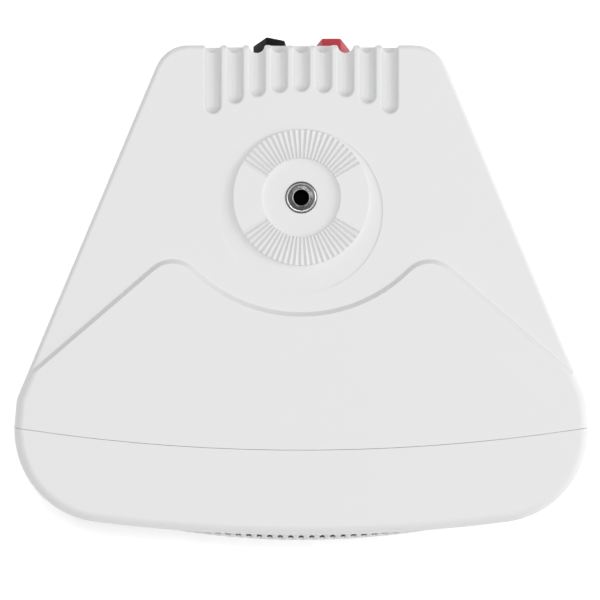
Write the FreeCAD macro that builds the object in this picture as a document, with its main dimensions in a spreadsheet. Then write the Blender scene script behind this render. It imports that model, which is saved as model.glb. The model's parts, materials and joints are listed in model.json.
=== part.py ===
import FreeCAD, Part
import math
import os
import re
import Sketcher

# Two-way loudspeaker for a wall or ceiling bracket, standing upright. Millimetres.
# x runs to the side, the grille faces -y, the ribbed back faces +y and z is up.
# x = y = 0 is the mounting axis through the two threaded inserts; z = 0 is where the
# bottom insert's thread starts. The casings are drawn about their mid-height.

Vector = FreeCAD.Vector

doc = FreeCAD.newDocument("wall_speaker")
sheet = doc.addObject("Spreadsheet::Sheet", "Size")

SIZES = {
    # casing outline, seen from above
    "height": 250.0, "rear": 49.4, "rear_half": 44.1, "side_slope": 0.4194, "bend_y": -65.3,
    "side_half": 93.0, "side_y": -74.5, "parting_bow": 600.0, "front_y": -109.4,
    "front_bow": 525.0, "corner_round": 30.0,
    "rear_round": 11.3, "bend_round": 9.0, "rim_round": 3.0, "wall": 4.0, "bezel_wall": 3.0,
    # raised cowl at the front of the rear cabinet
    "cowl_rise": 1.4, "cowl_taper": 45.0, "crease_round": 1.4, "cowl_side_x": 92.4, "cowl_side_y": -62.2,
    "cowl_slope": 40.7, "peak_round": 8.8, "valley_round": 50.3, "valley_y": 11.7,
    # serrated mounting rosette and the dish around it
    "ring_out": 22.0, "ring_in": 12.85, "tooth_deep": 0.55, "tooth_pitch": 5.0,
    "tooth_count": 24.0, "tooth_over": 1.0, "dish_round": 26.5, "dish_shift": 4.4, "dish_deep": 0.35,
    # threaded inserts
    "set_back": 2.8, "insert_head": 5.25, "insert_body": 4.7, "insert_bore": 2.5,
    "insert_cone": 4.4, "insert_head_thick": 0.9, "insert_long": 15.0, "boss_round": 8.5,
    "boss_deep": 21.0,
    # cooling grooves over the rear edge
    "groove_round": 2.5, "groove_flare": 0.8, "groove_lift": 1.6,
    "groove_pitch": 7.17, "groove_arc": 61.5, "groove_arc_y": -27.0, "groove_stub": 5.3,
    # joint between cabinet and bezel
    "rebate_y": -66.0, "rebate_half": 90.3, "rebate_lip": 2.0, "tongue": 1.9, "play": 0.2, "seam": 0.12,
    "gasket_thick": 2.2,
    # baffle, its opening and its screws
    "baffle_front": -93.0, "baffle_thick": 4.0, "open_half": 77.0, "open_lip": 6.5,
    "open_round": 18.0, "screw_x": 69.0, "screw_z": 104.0, "boss_start": -24.0,
    "boss_r": 4.5, "pilot": 1.7, "screw_hole": 2.2, "screw_long": 22.0, "screw_head": 3.8,
    "screw_head_tall": 2.4, "screw_clear": 0.3, "head_flat": 0.7, "head_side": 0.45,
    "cross_arm": 0.5, "cross_thin": 0.11, "cross_deep": 0.6, "baffle_inset": 7.0, "tongue_root": 4.0,
    # how far a cut runs past what it cuts, and one that goes right out of the casing
    "over": 1.0, "through": 40.0, "skin": 0.01,
    # grille
    "grille_y": -111.2, "grille_bow": 262.0, "grille_gap": 0.6, "grille_sheet": 1.0,
    "grille_fold": 5.0, "grille_edge": 1.6,
    # driver places, measured from mid-height
    "woofer_low": 42.4, "woofer_hole": 59.0, "woofer_screw": 64.4, "tweeter_high": 69.6,
    "tweeter_hole": 25.1, "tweeter_screw": 31.5, "tweeter_pilot": 1.3,
    # terminal cup on the back
    "well_top": 84.0, "well_tilt": 43.0, "well_face": 38.0, "well_mouth": 52.0,
    "well_half": 26.0, "well_wall": 2.5, "flange_half": 34.0, "flange_lip": 10.0,
    "flange_thick": 2.0, "fit_gap": 0.1, "cup_screw_x": 30.5, "cup_screw_z": 25.0,
    "cup_pilot": 1.1, "cup_screw_hole": 1.4, "screw_gap": 0.05, "flush": 0.02,
    # binding posts
    "post_x": 10.0, "post_down": 17.7, "post_r": 2.0, "post_out": 14.0, "post_in": 13.0,
    "bush_r": 5.4, "bush_tall": 3.0, "bush_spigot": 3.4, "washer_r": 5.3, "washer_thick": 1.0,
    "bush_under": 1.0, "bush_edge": 0.5, "post_edge": 0.4, "stack_gap": 0.05, "washer_play": 0.15,
    "knob_flats": 10.9, "knob_tall": 14.2, "knob_bore": 2.05, "knob_edge": 0.9, "knob_foot": 0.5,
    "bore_over": 0.6, "black_turn": 16.0, "post_hole_long": 20.0, "nut_gap": 0.03, "tag_r": 4.2,
    "tag_back": 2.6, "tag_thick": 0.6, "nut_r": 3.9, "nut_back": 5.9, "nut_tall": 3.2,
    # crossover
    "board_half": 35.0, "board_y": 37.4, "board_thick": 1.6, "board_low": -60.0,
    "board_tall": 70.0, "board_inset": 5.0, "board_hole": 1.4, "standoff_x": 30.0, "standoff_r": 3.5,
    "standoff_pilot": 1.2, "board_head": 2.4, "board_head_tall": 1.6, "board_screw_long": 7.0,
    "low_coil_x": -17.0, "low_coil_z": -19.0, "low_coil_in": 5.0, "low_coil_r": 12.0, "low_coil_tall": 13.0,
    "high_coil_x": 16.0, "high_coil_z": -43.0, "high_coil_in": 4.0, "high_coil_r": 10.0,
    "high_coil_tall": 9.0, "low_can_x": -27.0, "low_can_z": -50.0, "low_can_r": 5.0, "low_can_long": 22.0,
    "high_can_x": 6.0, "high_can_z": -20.0, "high_can_r": 6.0, "high_can_long": 24.0,
    "load_x": 12.5, "load_z": -11.0, "load_long": 20.0, "load_side": 8.0, "lead_r": 0.9,
    # damping wadding
    "wad_wide": 80.0, "wad_thick": 14.0, "wad_tall": 130.0, "wad_y": -26.0, "wad_low": 4.0,
    # woofer, as radius and depth behind the baffle's front
    "w_flange": 68.0, "w_ledge": 56.0, "w_lip": 1.5, "w_sheet": 1.4, "w_neck": 57.8,
    "w_step_r": 42.0, "w_step": 28.0, "w_cup_r": 38.2, "w_floor": 39.0, "w_eye": 17.0,
    "w_gasket_in": 57.0, "w_gasket_out": 60.8, "w_gasket_tall": 1.6, "w_roll_out": 55.4,
    "w_roll_in": 46.9, "w_roll_sheet": 0.6, "w_cone_out": 46.6, "w_cone_in": 13.5,
    "w_cone_deep": 20.0, "w_cap_r": 20.5,
    "w_cap_tall": 6.8, "w_cap_sheet": 0.8, "w_coil_in": 12.9, "w_coil_wall": 0.4,
    "w_coil_end": 47.0, "w_wind_r": 14.0, "w_wind_start": 36.5, "w_wind_end": 45.0,
    "w_spider_out": 41.2, "w_spider_thick": 0.5, "w_plate_r": 32.0, "w_plate_eye": 14.6,
    "w_plate_thick": 4.0, "w_magnet_r": 40.0, "w_magnet_eye": 17.5, "w_magnet_thick": 15.0,
    "w_pole_r": 12.4, "w_pole_edge": 0.6, "w_back_thick": 4.0, "w_back_over": 3.0, "w_back_edge": 1.0,
    "w_neck_step": 0.8, "w_neck_deep": 8.0, "w_step_fall": 2.0, "w_step_rise": 0.5,
    "w_window_count": 6.0, "w_window_foot": 10.0, "w_window_half": 16.0, "w_window_edge": 1.5,
    "w_window_over": 4.0, "w_flap": 2.2, "w_glue": 0.05, "w_cone_sheet": 0.8, "w_flat": 3.0, "w_knee": 5.0,
    "w_knee_shift": 0.2, "w_cap_sink": 0.2, "w_coil_over": 1.0, "w_spider_flat": 4.0,
    "w_screw_head": 3.2, "w_screw_tall": 2.1, "w_screw_long": 11.0, "w_block_in": 0.7,
    "w_block_wide": 4.0, "w_block_deep": 3.4, "w_block_tall": 9.0,
    # tweeter
    "t_face_r": 37.0, "t_face_thick": 3.0, "t_horn_r": 24.0, "t_throat": 14.2, "t_spigot": 24.8,
    "t_spigot_deep": 4.2, "t_dome_r": 12.5, "t_dome_tall": 4.6, "t_dome_back": 1.2,
    "t_dome_sheet": 0.5, "t_coil_end": 7.6, "t_plate_r": 24.0,
    "t_plate_eye": 13.0, "t_plate_thick": 3.0, "t_magnet_r": 27.0, "t_magnet_eye": 15.0,
    "t_magnet_thick": 9.0, "t_pole_r": 11.6, "t_back_thick": 3.0, "t_lip": 0.4, "t_flare": 0.6,
    "t_edge": 0.8, "t_glue": 0.02, "t_gap": 0.05, "t_roll_sheet": 0.5, "t_roll_share": 1.1,
    "t_screw_head": 2.6, "t_screw_tall": 1.7, "t_screw_long": 9.0, "t_block_wide": 12.0,
    "t_block_deep": 3.0, "t_block_tall": 7.0,
}


def fill_sheet():
    """Every driving dimension as a plain number with an alias."""
    for row, (name, value) in enumerate(SIZES.items(), 1):
        sheet.set("A%d" % row, name)
        sheet.set("B%d" % row, repr(value))
        sheet.setAlias("B%d" % row, name)
    doc.recompute()


def bound(text):
    """An expression on the sheet: each alias gets the sheet's name in front."""
    return re.sub(r"[a-z][a-z_]*", lambda m: "Size." + m.group() if m.group() in SIZES else m.group(), text)


def number(text):
    """What such an expression comes to now."""
    return float(sheet.evalExpression(bound(text)))


MID = "(height/2 - set_back)"
WOOFER = ("0", "baffle_front", MID + " - woofer_low")
TWEETER = ("0", "baffle_front", MID + " + tweeter_high")


def place(thing, x="0", y="0", z="0"):
    for axis, text in (("x", x), ("y", y), ("z", z)):
        thing.setExpression("Placement.Base." + axis, bound(text))


def body(label, spot=("0", "0", "0")):
    made = doc.addObject("PartDesign::Body", label)
    made.Label = label
    place(made, *spot)
    return made


def origin(owner, role):
    return [f for f in owner.Origin.OriginFeatures if f.Role == role][0]


def sketch(owner, role="XY_Plane", lift=None, turn=None):
    made = owner.newObject("Sketcher::SketchObject", owner.Name + "_sketch")
    made.AttachmentSupport = [(origin(owner, role), "")]
    made.MapMode = "FlatFace"
    if turn is not None:
        made.AttachmentOffset = FreeCAD.Placement(Vector(0, 0, 0), turn)
    if lift:
        made.setExpression("AttachmentOffset.Base.z", bound(lift))
    return made


def fix(sk, kind, text, *where):
    """A dimension of the sketch, bound to the sheet."""
    index = sk.addConstraint(Sketcher.Constraint(kind, *where, number(text)))
    sk.setExpression("Constraints[%d]" % index, bound(text))


def pin(sk, edge, end, x, y):
    fix(sk, "DistanceX", x, -1, 1, edge, end)
    fix(sk, "DistanceY", y, -1, 1, edge, end)


def outline(sk, corners, arcs=None):
    """A closed outline through corners given as expressions. arcs maps the number of a
    side to (radius, side): 1 bulges to the left of the way from corner to corner."""
    arcs = arcs or {}
    spots = [Vector(number(x), number(y), 0) for x, y in corners]
    ends = []
    for i, a in enumerate(spots):
        b = spots[(i + 1) % len(spots)]
        if i not in arcs:
            ends.append((sk.addGeometry(Part.LineSegment(a, b)), 1, 2))
            continue
        radius, bulge = arcs[i]
        r = number(radius)
        half = (b - a) * 0.5
        left = Vector(-half.y, half.x, 0).normalize()
        centre = a + half - left * bulge * math.sqrt(r * r - half.Length ** 2)
        top = centre + left * bulge * r
        edge = sk.addGeometry(Part.Arc(a, top, b))
        first = 1 if sk.getPoint(edge, 1).distanceToPoint(a) < 1e-6 else 2
        ends.append((edge, first, 3 - first))
        fix(sk, "Radius", radius, edge)
    for i, (edge, first, last) in enumerate(ends):
        following, start, _ = ends[(i + 1) % len(ends)]
        sk.addConstraint(Sketcher.Constraint("Coincident", edge, last, following, start))
        pin(sk, edge, first, *corners[i])
    return sk


def open_outline(sk, corners):
    """A path of straight runs through corners."""
    spots = [Vector(number(x), number(y), 0) for x, y in corners]
    for i, (a, b) in enumerate(zip(spots, spots[1:])):
        edge = sk.addGeometry(Part.LineSegment(a, b))
        if i:
            sk.addConstraint(Sketcher.Constraint("Coincident", edge - 1, 2, edge, 1))
        pin(sk, edge, 1, *corners[i])
    pin(sk, edge, 2, *corners[-1])


def circle(sk, radius, x="0", y="0"):
    edge = sk.addGeometry(Part.Circle(Vector(number(x), number(y), 0), Vector(0, 0, 1), number(radius)))
    fix(sk, "Radius", radius, edge)
    pin(sk, edge, 3, x, y)
    return sk


def rectangle(sk, x1, y1, x2, y2):
    return outline(sk, [(x1, y1), (x2, y1), (x2, y2), (x1, y2)])


def rounded(sk, half_wide, half_tall, radius):
    """A rectangle about the sketch's origin with round corners."""
    w, t, r = half_wide, half_tall, radius
    corners = [
        ("%s - %s" % (w, r), "-(%s)" % t), (w, "%s - (%s)" % (r, t)), (w, "%s - %s" % (t, r)),
        ("%s - %s" % (w, r), t), ("%s - %s" % (r, w), t), ("-(%s)" % w, "%s - %s" % (t, r)),
        ("-(%s)" % w, "%s - (%s)" % (r, t)), ("%s - %s" % (r, w), "-(%s)" % t),
    ]
    return outline(sk, corners, {0: (r, -1), 2: (r, -1), 4: (r, -1), 6: (r, -1)})


def feature(owner, kind, sk, length, middle=False, back=False, taper=None):
    """A Pad or Pocket. A Pad grows along the sketch's normal, a Pocket goes against it."""
    made = owner.newObject("PartDesign::" + kind, owner.Name + "_" + kind.lower())
    made.Profile = sk
    made.setExpression("Length", bound(length))
    made.Midplane = middle
    made.Reversed = back
    if taper:
        made.setExpression("TaperAngle", bound(taper))
    doc.recompute()
    return made


def pad(owner, sk, length, **options):
    return feature(owner, "Pad", sk, length, **options)


def pocket(owner, sk, length, **options):
    before = owner.Shape.Volume
    made = feature(owner, "Pocket", sk, length, **options)
    if not made.Shape.Volume < before - 1e-3:
        raise RuntimeError(made.Name + " cuts nothing")
    return made


def soften(owner, radius, wanted, kind="Fillet"):
    """A fillet or chamfer on the edges that wanted(edge) picks."""
    base = owner.Tip
    names = ["Edge%d" % (i + 1) for i, e in enumerate(base.Shape.Edges) if wanted(e)]
    made = owner.newObject("PartDesign::" + kind, owner.Name + "_" + kind.lower())
    made.Base = (base, names)
    made.setExpression("Radius" if kind == "Fillet" else "Size", bound(radius))
    doc.recompute()
    return made


def mirrored(owner, originals, role="XY_Plane"):
    made = owner.newObject("PartDesign::Mirrored", owner.Name + "_mirrored")
    made.Originals = originals
    made.MirrorPlane = (origin(owner, role), [""])
    owner.Tip = made
    doc.recompute()
    return made


def revolved(label, spot, corners, arcs=None):
    """A turned piece: the outline in (radius, depth) spun about the depth axis."""
    owner = body(label, spot)
    sk = outline(sketch(owner), corners, arcs)
    made = owner.newObject("PartDesign::Revolution", label + "_revolution")
    made.Profile = sk
    made.ReferenceAxis = (sk, ["V_Axis"])
    made.Angle = 360
    doc.recompute()
    return owner


def primitive(kind, label, sizes, spot=("0", "0", "0"), turn=None):
    """A Part primitive: sizes maps its properties to expressions on the sheet."""
    made = doc.addObject("Part::" + kind, label)
    made.Label = label
    if turn is not None:
        made.Placement = FreeCAD.Placement(Vector(0, 0, 0), turn)
    for name, text in sizes.items():
        made.setExpression(name, bound(text))
    place(made, *spot)
    return made


def joined(label, pieces):
    made = doc.addObject("Part::MultiFuse", label)
    made.Label = label
    made.Shapes = pieces
    return made


def grouped(label, pieces):
    """Several like pieces in one node, each a solid of its own."""
    made = doc.addObject("Part::Compound", label)
    made.Label = label
    made.Links = pieces
    return made


def cut(label, base, tool):
    made = doc.addObject("Part::Cut", label)
    made.Label = label
    made.Base = base
    made.Tool = tool
    return made


ALONG_Y = FreeCAD.Rotation(Vector(1, 0, 0), -90)
ALONG_X = FreeCAD.Rotation(Vector(0, 1, 0), 90)


def level(edge, z):
    box = edge.BoundBox
    return abs(box.ZMin - z) < 1e-4 and abs(box.ZMax - z) < 1e-4


# Rear cabinet

def cowl_region(owner):
    """What is cut down behind the cowl's curved edge: the valley between two rounded
    peaks, a straight flank out to each side, and round the outside of the cabinet."""
    sk = sketch(owner, lift="height/2")
    r, big = number("peak_round"), number("valley_round")
    slope = math.radians(number("cowl_slope"))
    end = Vector(number("cowl_side_x"), number("cowl_side_y"), 0)
    way = Vector(-math.cos(slope), math.sin(slope), 0)
    inward = Vector(-math.sin(slope), -math.cos(slope), 0)
    heart = Vector(0, number("valley_y"), 0)
    # the peak's centre lies r inside the flank and r outside the valley's arc
    start = end + inward * r - heart
    b = start.dot(way)
    along = -b - math.sqrt(b * b - start.dot(start) + (big + r) ** 2)
    centre = end + inward * r + way * along
    on_flank = centre - inward * r
    on_valley = heart + (centre - heart).normalize() * big
    bisector = ((on_flank - centre) + (on_valley - centre)).normalize()
    peak = centre + bisector * r

    def flip(p):
        return Vector(-p.x, p.y, 0)

    far, back = 2 * end.x, number("rear") + big
    low = Vector(0, number("valley_y") - big, 0)
    arcs = [Part.Arc(on_valley, low, flip(on_valley)), Part.Arc(on_flank, peak, on_valley),
            Part.Arc(flip(on_flank), flip(peak), flip(on_valley))]
    ids = [sk.addGeometry(a) for a in arcs]
    sides = []
    for sign in (1, -1):
        a, b2 = (on_flank, end) if sign == 1 else (flip(on_flank), flip(end))
        c, d = Vector(sign * far, b2.y, 0), Vector(sign * far, back, 0)
        sides.append([sk.addGeometry(Part.LineSegment(p, q)) for p, q in ((a, b2), (b2, c), (c, d))])
    roof = sk.addGeometry(Part.LineSegment(Vector(far, back, 0), Vector(-far, back, 0)))

    def near(edge, spot):
        return 1 if sk.getPoint(edge, 1).distanceToPoint(spot) < 1e-6 else 2

    def touch(kind, a, b2, spot):
        sk.addConstraint(Sketcher.Constraint(kind, a, near(a, spot), b2, near(b2, spot)))

    touch("Tangent", ids[0], ids[1], on_valley)
    touch("Tangent", ids[0], ids[2], flip(on_valley))
    touch("Tangent", ids[1], sides[0][0], on_flank)
    touch("Tangent", ids[2], sides[1][0], flip(on_flank))
    for sign, (flank, out, up) in zip((1, -1), sides):
        spot = Vector(sign * end.x, end.y, 0)
        touch("Coincident", flank, out, spot)
        touch("Coincident", out, up, Vector(sign * far, end.y, 0))
        touch("Coincident", up, roof, Vector(sign * far, back, 0))
        side = "cowl_side_x" if sign == 1 else "-cowl_side_x"
        pin(sk, flank, near(flank, spot), side, "cowl_side_y")
        pin(sk, up, near(up, Vector(sign * far, back, 0)), "2*" + side, "rear + valley_round")
        sk.addConstraint(Sketcher.Constraint("Horizontal", out))
        sk.addConstraint(Sketcher.Constraint("Vertical", up))
    fix(sk, "Radius", "valley_round", ids[0])
    pin(sk, ids[0], 3, "0", "valley_y")
    fix(sk, "Radius", "peak_round", ids[1])
    fix(sk, "Radius", "peak_round", ids[2])
    return sk


def cabinet_outline(owner):
    sk = sketch(owner)
    bend = "(rear_half + (rear - bend_y)*side_slope)"
    corners = [("-rear_half", "rear"), ("rear_half", "rear"), (bend, "bend_y"), ("side_half", "side_y"),
               ("-side_half", "side_y"), ("-" + bend, "bend_y")]
    return outline(sk, corners, {3: ("parting_bow", 1)})


def cavity_outline(owner):
    """The inside of the cabinet, one wall in from its back and sloping sides."""
    sk = sketch(owner)
    skew = "wall*sqrt(1 + side_slope^2)"
    back = "(rear_half + wall*side_slope - %s)" % skew
    bend = "(rear_half + (rear - rebate_y)*side_slope - %s)" % skew
    corners = [("-" + back, "rear - wall"), (back, "rear - wall"), (bend, "rebate_y"),
               (bend, "front_y"), ("-" + bend, "front_y"), ("-" + bend, "rebate_y")]
    return outline(sk, corners)


def tooth(owner):
    """One radial V notch of the rosette, its width growing with the radius."""
    sketches = []
    for radius in ("(ring_in - tooth_over)", "(ring_out + tooth_over)"):
        turn = FreeCAD.Rotation(Vector(0, 1, 0), -number("tooth_pitch*(tooth_count - 1)/2"))
        sk = sketch(owner, "XZ_Plane", turn=turn)
        reach = number(radius)
        spot = turn.multVec(Vector(0, 0, -reach))
        sk.AttachmentOffset = FreeCAD.Placement(spot, turn)
        half = "%s*tan(tooth_pitch/2)" % radius
        lift = "height/2"
        outline(sk, [("-" + half, lift + " + skin"), (half, lift + " + skin"), ("0", lift + " - tooth_deep")])
        sketches.append(sk)
    made = owner.newObject("PartDesign::SubtractiveLoft", "tooth")
    made.Profile = sketches[0]
    made.Sections = [sketches[1]]
    made.Ruled = True
    doc.recompute()
    return made


def rosette(owner):
    """Dish, raised ring and its teeth, on both ends."""
    floor = "height/2 - cowl_rise"
    dish = pocket(owner, circle(sketch(owner, lift=floor), "dish_round", "0", "-dish_shift"),
                  "dish_deep")
    ring_sketch = circle(sketch(owner, lift=floor + " - dish_deep"), "ring_out")
    circle(ring_sketch, "ring_in")
    ring = pad(owner, ring_sketch, "cowl_rise + dish_deep")
    heel_sketch = circle(sketch(owner, lift=floor + " - dish_deep"), "ring_in")
    circle(heel_sketch, "insert_head")
    heel = pad(owner, heel_sketch, "dish_deep")
    mirrored(owner, [dish])
    mirrored(owner, [ring])
    mirrored(owner, [heel])
    notch = tooth(owner)
    many = owner.newObject("PartDesign::MultiTransform", "teeth")
    many.Originals = [notch]
    spread = owner.newObject("PartDesign::PolarPattern", "teeth_spread")
    spread.Axis = (origin(owner, "Z_Axis"), [""])
    spread.setExpression("Angle", bound("tooth_pitch*(tooth_count - 1)"))
    spread.setExpression("Occurrences", bound("tooth_count"))
    across = owner.newObject("PartDesign::Mirrored", "teeth_across")
    across.MirrorPlane = (origin(owner, "XZ_Plane"), [""])
    under = owner.newObject("PartDesign::Mirrored", "teeth_under")
    under.MirrorPlane = (origin(owner, "XY_Plane"), [""])
    many.Transformations = [spread, across, under]
    owner.Tip = many
    doc.recompute()


def cabinet_shell():
    owner = body("cabinet_shell", ("0", "0", MID))
    pad(owner, cabinet_outline(owner), "height", middle=True)

    def upright(edge, y):
        box = edge.BoundBox
        return box.ZLength > 200 and abs(box.YMin - y) < 0.01

    soften(owner, "rear_round", lambda e: upright(e, number("rear")))
    soften(owner, "bend_round", lambda e: upright(e, number("bend_y")))
    top = number("height/2")

    def rim(edge):
        rear_of_parting = edge.CenterOfMass.y > number("side_y")
        return rear_of_parting and (level(edge, top) or level(edge, -top))

    soften(owner, "rim_round", rim)
    drop = pocket(owner, cowl_region(owner), "cowl_rise", taper="-cowl_taper")
    mirrored(owner, [drop])
    low = number("height/2 - cowl_rise")

    def crease(edge):
        behind_cowl = edge.CenterOfMass.y > number("cowl_side_y")/4
        return behind_cowl and (level(edge, low) or level(edge, -low))

    soften(owner, "crease_round", crease)
    return owner


def hollow(owner):
    """The cavity, the rebate that takes the bezel's tongue, and what grows inside."""
    pocket(owner, cavity_outline(owner), "height - 2*cowl_rise - 2*wall", middle=True)
    rebate = sketch(owner, "XZ_Plane", lift="-rebate_y")
    inner = "(height/2 - rebate_lip)"
    rectangle(rebate, "-rebate_half", "-" + inner, "rebate_half", inner)
    pocket(owner, rebate, "through", back=True)
    boss = pad(owner, circle(sketch(owner, lift="height/2 - wall"), "boss_round"),
               "boss_deep - wall", back=True)
    seat = pocket(owner, circle(sketch(owner, lift="height/2"), "insert_body"),
                  "insert_long + set_back")
    head = pocket(owner, circle(sketch(owner, lift="height/2"), "insert_head"),
                  "set_back - insert_cone + insert_bore + insert_head_thick")
    mirrored(owner, [boss])
    mirrored(owner, [seat])
    mirrored(owner, [head])
    for x in ("-screw_x", "screw_x"):
        for z in ("-screw_z", "0", "screw_z"):
            post = circle(sketch(owner, "XZ_Plane", lift="-boss_start"), "boss_r", x, z)
            circle(post, "pilot", x, z)
            pad(owner, post, "boss_start - baffle_front - baffle_thick")
    for x in ("-standoff_x", "standoff_x"):
        for z in ("board_low + board_inset", "board_low + board_tall - board_inset"):
            foot = circle(sketch(owner, "XZ_Plane", lift="wall - rear"), "standoff_r", x, z)
            circle(foot, "standoff_pilot", x, z)
            pad(owner, foot, "rear - wall - board_y - board_thick")


WELL_SIN, WELL_COS = "sin(well_tilt)", "cos(well_tilt)"


def well_section(grow):
    """The terminal well seen from the side: a face that slopes in and down from the top
    of the mouth, and a floor square to it. grow moves both outwards."""
    deep = "(well_face*%s)" % WELL_SIN
    corner_y = "(rear - %s - (%s)*(%s + %s))" % (deep, grow, WELL_COS, WELL_SIN)
    corner_z = "(well_top - well_face*%s + (%s)*(%s - %s))" % (WELL_COS, grow, WELL_SIN, WELL_COS)
    floor = "(well_top - well_face/%s - (%s)/%s)" % (WELL_COS, grow, WELL_COS)
    return [("rear", "well_top + (%s)/%s" % (grow, WELL_SIN)), (corner_y, corner_z), ("rear", floor)]


def well_room(owner):
    """The hole and the rebate in the cabinet's back that the terminal cup sits in."""
    hole = outline(sketch(owner, "YZ_Plane"), well_section("well_wall + fit_gap"))
    pocket(owner, hole, "2*(well_half + well_wall + fit_gap)", middle=True)
    seat = sketch(owner, "XZ_Plane", lift="-rear")
    half = "(flange_half + fit_gap)"
    low = "(well_top - well_mouth - flange_lip - fit_gap)"
    rectangle(seat, "-" + half, low, half, "well_top + flange_lip + fit_gap")
    pocket(owner, seat, "flange_thick", back=True)
    for x in ("-cup_screw_x", "cup_screw_x"):
        for z in ("-cup_screw_z", "cup_screw_z"):
            hole = circle(sketch(owner, "XZ_Plane", lift="-rear"), "cup_pilot", x, WELL_MID + " + " + z)
            pocket(owner, hole, "wall", back=True)


WELL_MID = "(well_top - well_mouth/2)"


def groove_profile(sk, level_at, half=False):
    """A groove's section: a round bottom whose sides flare out into the surface, and
    above it room to cut. half gives its right half alone, for turning."""
    flare_x = "sqrt(groove_round^2 + 2*groove_round*groove_flare)"
    share = "groove_round/(groove_round + groove_flare)"
    touch_x = "(%s*%s)" % (flare_x, share)
    touch_z = "(%s - groove_flare*%s)" % (level_at, share)
    roof = "(%s + groove_lift)" % level_at
    if half:
        corners = [("0", roof), (flare_x, roof), (flare_x, level_at), (touch_x, touch_z),
                   ("0", level_at + " - groove_round")]
        return outline(sk, corners, {2: ("groove_flare", -1), 3: ("groove_round", 1)})
    corners = [("-" + flare_x, roof), (flare_x, roof), (flare_x, level_at), (touch_x, touch_z),
               ("-" + touch_x, touch_z), ("-" + flare_x, level_at)]
    return outline(sk, corners, {2: ("groove_flare", -1), 3: ("groove_round", 1), 4: ("groove_flare", -1)})


def groove_end(label, spot, turn):
    """The half-profile turned full circle: the round end of a groove."""
    owner = body(label, spot)
    made = owner.newObject("PartDesign::Revolution", label + "_revolution")
    made.Profile = groove_profile(sketch(owner, "XZ_Plane"), "0", half=True)
    made.ReferenceAxis = (made.Profile[0], ["V_Axis"])
    made.Angle = 360
    owner.Placement.Rotation = turn
    doc.recompute()
    return owner


def groove(step, upper):
    """The solids that cut one cooling groove: along the top, over the rear edge and down
    the back. step counts from the middle. The lower end's grooves are all long; at the
    upper end the middle three stop under the edge and the next pair runs on into the
    terminal well."""
    x = "(%d*groove_pitch)" % step
    shelf = "(height/2 - cowl_rise)"
    start = "(groove_arc_y + sqrt(groove_arc^2 - %s^2) + groove_round)" % x
    end = "(%s - rear + %s)" % (shelf, start)
    if upper and abs(step) <= 1:
        end = "(%s - groove_stub)" % shelf
    if upper and abs(step) == 2:
        end = "(well_top - groove_round)"
    name = "groove_%s_%d" % ("up" if upper else "down", step + 4)
    owner = body(name, (x, "0", MID))
    path = sketch(owner, "YZ_Plane")
    open_outline(path, [(start, shelf), ("rear", shelf), ("rear", end)])
    profile = groove_profile(sketch(owner, "XZ_Plane", lift="-" + start), shelf)
    pipe = owner.newObject("PartDesign::AdditivePipe", name + "_pipe")
    pipe.Profile = profile
    pipe.Spine = (path, [])
    pipe.Transition = "Right corner"
    doc.recompute()
    back = FreeCAD.Rotation(Vector(1, 0, 0), -90)
    pieces = [owner, groove_end(name + "_top", (x, start, MID + " + " + shelf), FreeCAD.Rotation()),
              groove_end(name + "_foot", (x, "rear", MID + " + " + end), back)]
    if upper:
        return pieces
    turned = doc.addObject("Part::Mirroring", name + "_below")
    turned.Source = joined(name + "_whole", pieces)
    turned.Normal = Vector(0, 0, 1)
    turned.setExpression("Base.z", bound(MID))
    return [turned]


def grooves(upper):
    pieces = []
    for step in range(-4, 5):
        pieces += groove(step, upper)
    return joined("grooves_up" if upper else "grooves_down", pieces)


def rear_cabinet(cutters):
    owner = cabinet_shell()
    hollow(owner)
    well_room(owner)
    rosette(owner)
    return cut("rear_cabinet", owner, cutters)


# Front bezel and grille

def front_bezel():
    owner = body("front_bezel", ("0", "0", MID))
    # the corner's arc runs into the front's arc where both have one tangent
    corner_x = "(side_half - corner_round)"
    reach = "sqrt((front_bow - corner_round)^2 - %s^2)" % corner_x
    corner_y = "(front_y + front_bow - %s)" % reach
    grow = "front_bow/(front_bow - corner_round)"
    end_x = "(%s*%s)" % (corner_x, grow)
    end_y = "(front_y + front_bow - %s*%s)" % (reach, grow)
    corners = [("-side_half", "side_y - seam"), ("-side_half", corner_y), ("-" + end_x, end_y),
               (end_x, end_y), ("side_half", corner_y), ("side_half", "side_y - seam")]
    plan = sketch(owner)
    outline(plan, corners, {1: ("corner_round", -1), 2: ("front_bow", -1), 3: ("corner_round", -1),
                            5: ("parting_bow", 1)})
    pad(owner, plan, "height", middle=True)
    top = number("height/2")

    def rim(edge):
        in_front = edge.CenterOfMass.y < number("side_y") - 8
        return in_front and (level(edge, top) or level(edge, -top))

    soften(owner, "rim_round", rim)
    baffle_back = "(baffle_front + baffle_thick)"
    inside = sketch(owner)
    inner = "(side_half - bezel_wall)"
    narrow = "(%s - baffle_inset)" % inner
    rectangle(inside, "-" + narrow, baffle_back, narrow, "0")
    pocket(owner, inside, "height - 2*bezel_wall", middle=True)
    wide = rectangle(sketch(owner), "-" + inner, "side_y - baffle_inset", inner, "0")
    pocket(owner, wide, "height - 2*bezel_wall", middle=True)
    opening = sketch(owner, "XZ_Plane", lift="-baffle_front")
    rounded(opening, "open_half", "(height/2 - open_lip)", "open_round")
    pocket(owner, opening, "through", back=True)
    tongue = sketch(owner, "XZ_Plane", lift="-(rebate_y - gasket_thick)")
    ring_outline(tongue)
    pad(owner, tongue, "rebate_y - gasket_thick - side_y + tongue_root")
    drill(owner, "woofer_hole", [("0", "-woofer_low")])
    drill(owner, "tweeter_hole", [("0", "tweeter_high")])
    for centre, spread, hole, many in (("-woofer_low", "woofer_screw", "pilot", 4),
                                       ("tweeter_high", "tweeter_screw", "tweeter_pilot", 3)):
        drill(owner, hole, [(x, centre + " + " + z) for x, z in round_spots(spread, many)])
    drill(owner, "screw_hole", baffle_screw_spots())
    return owner


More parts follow.
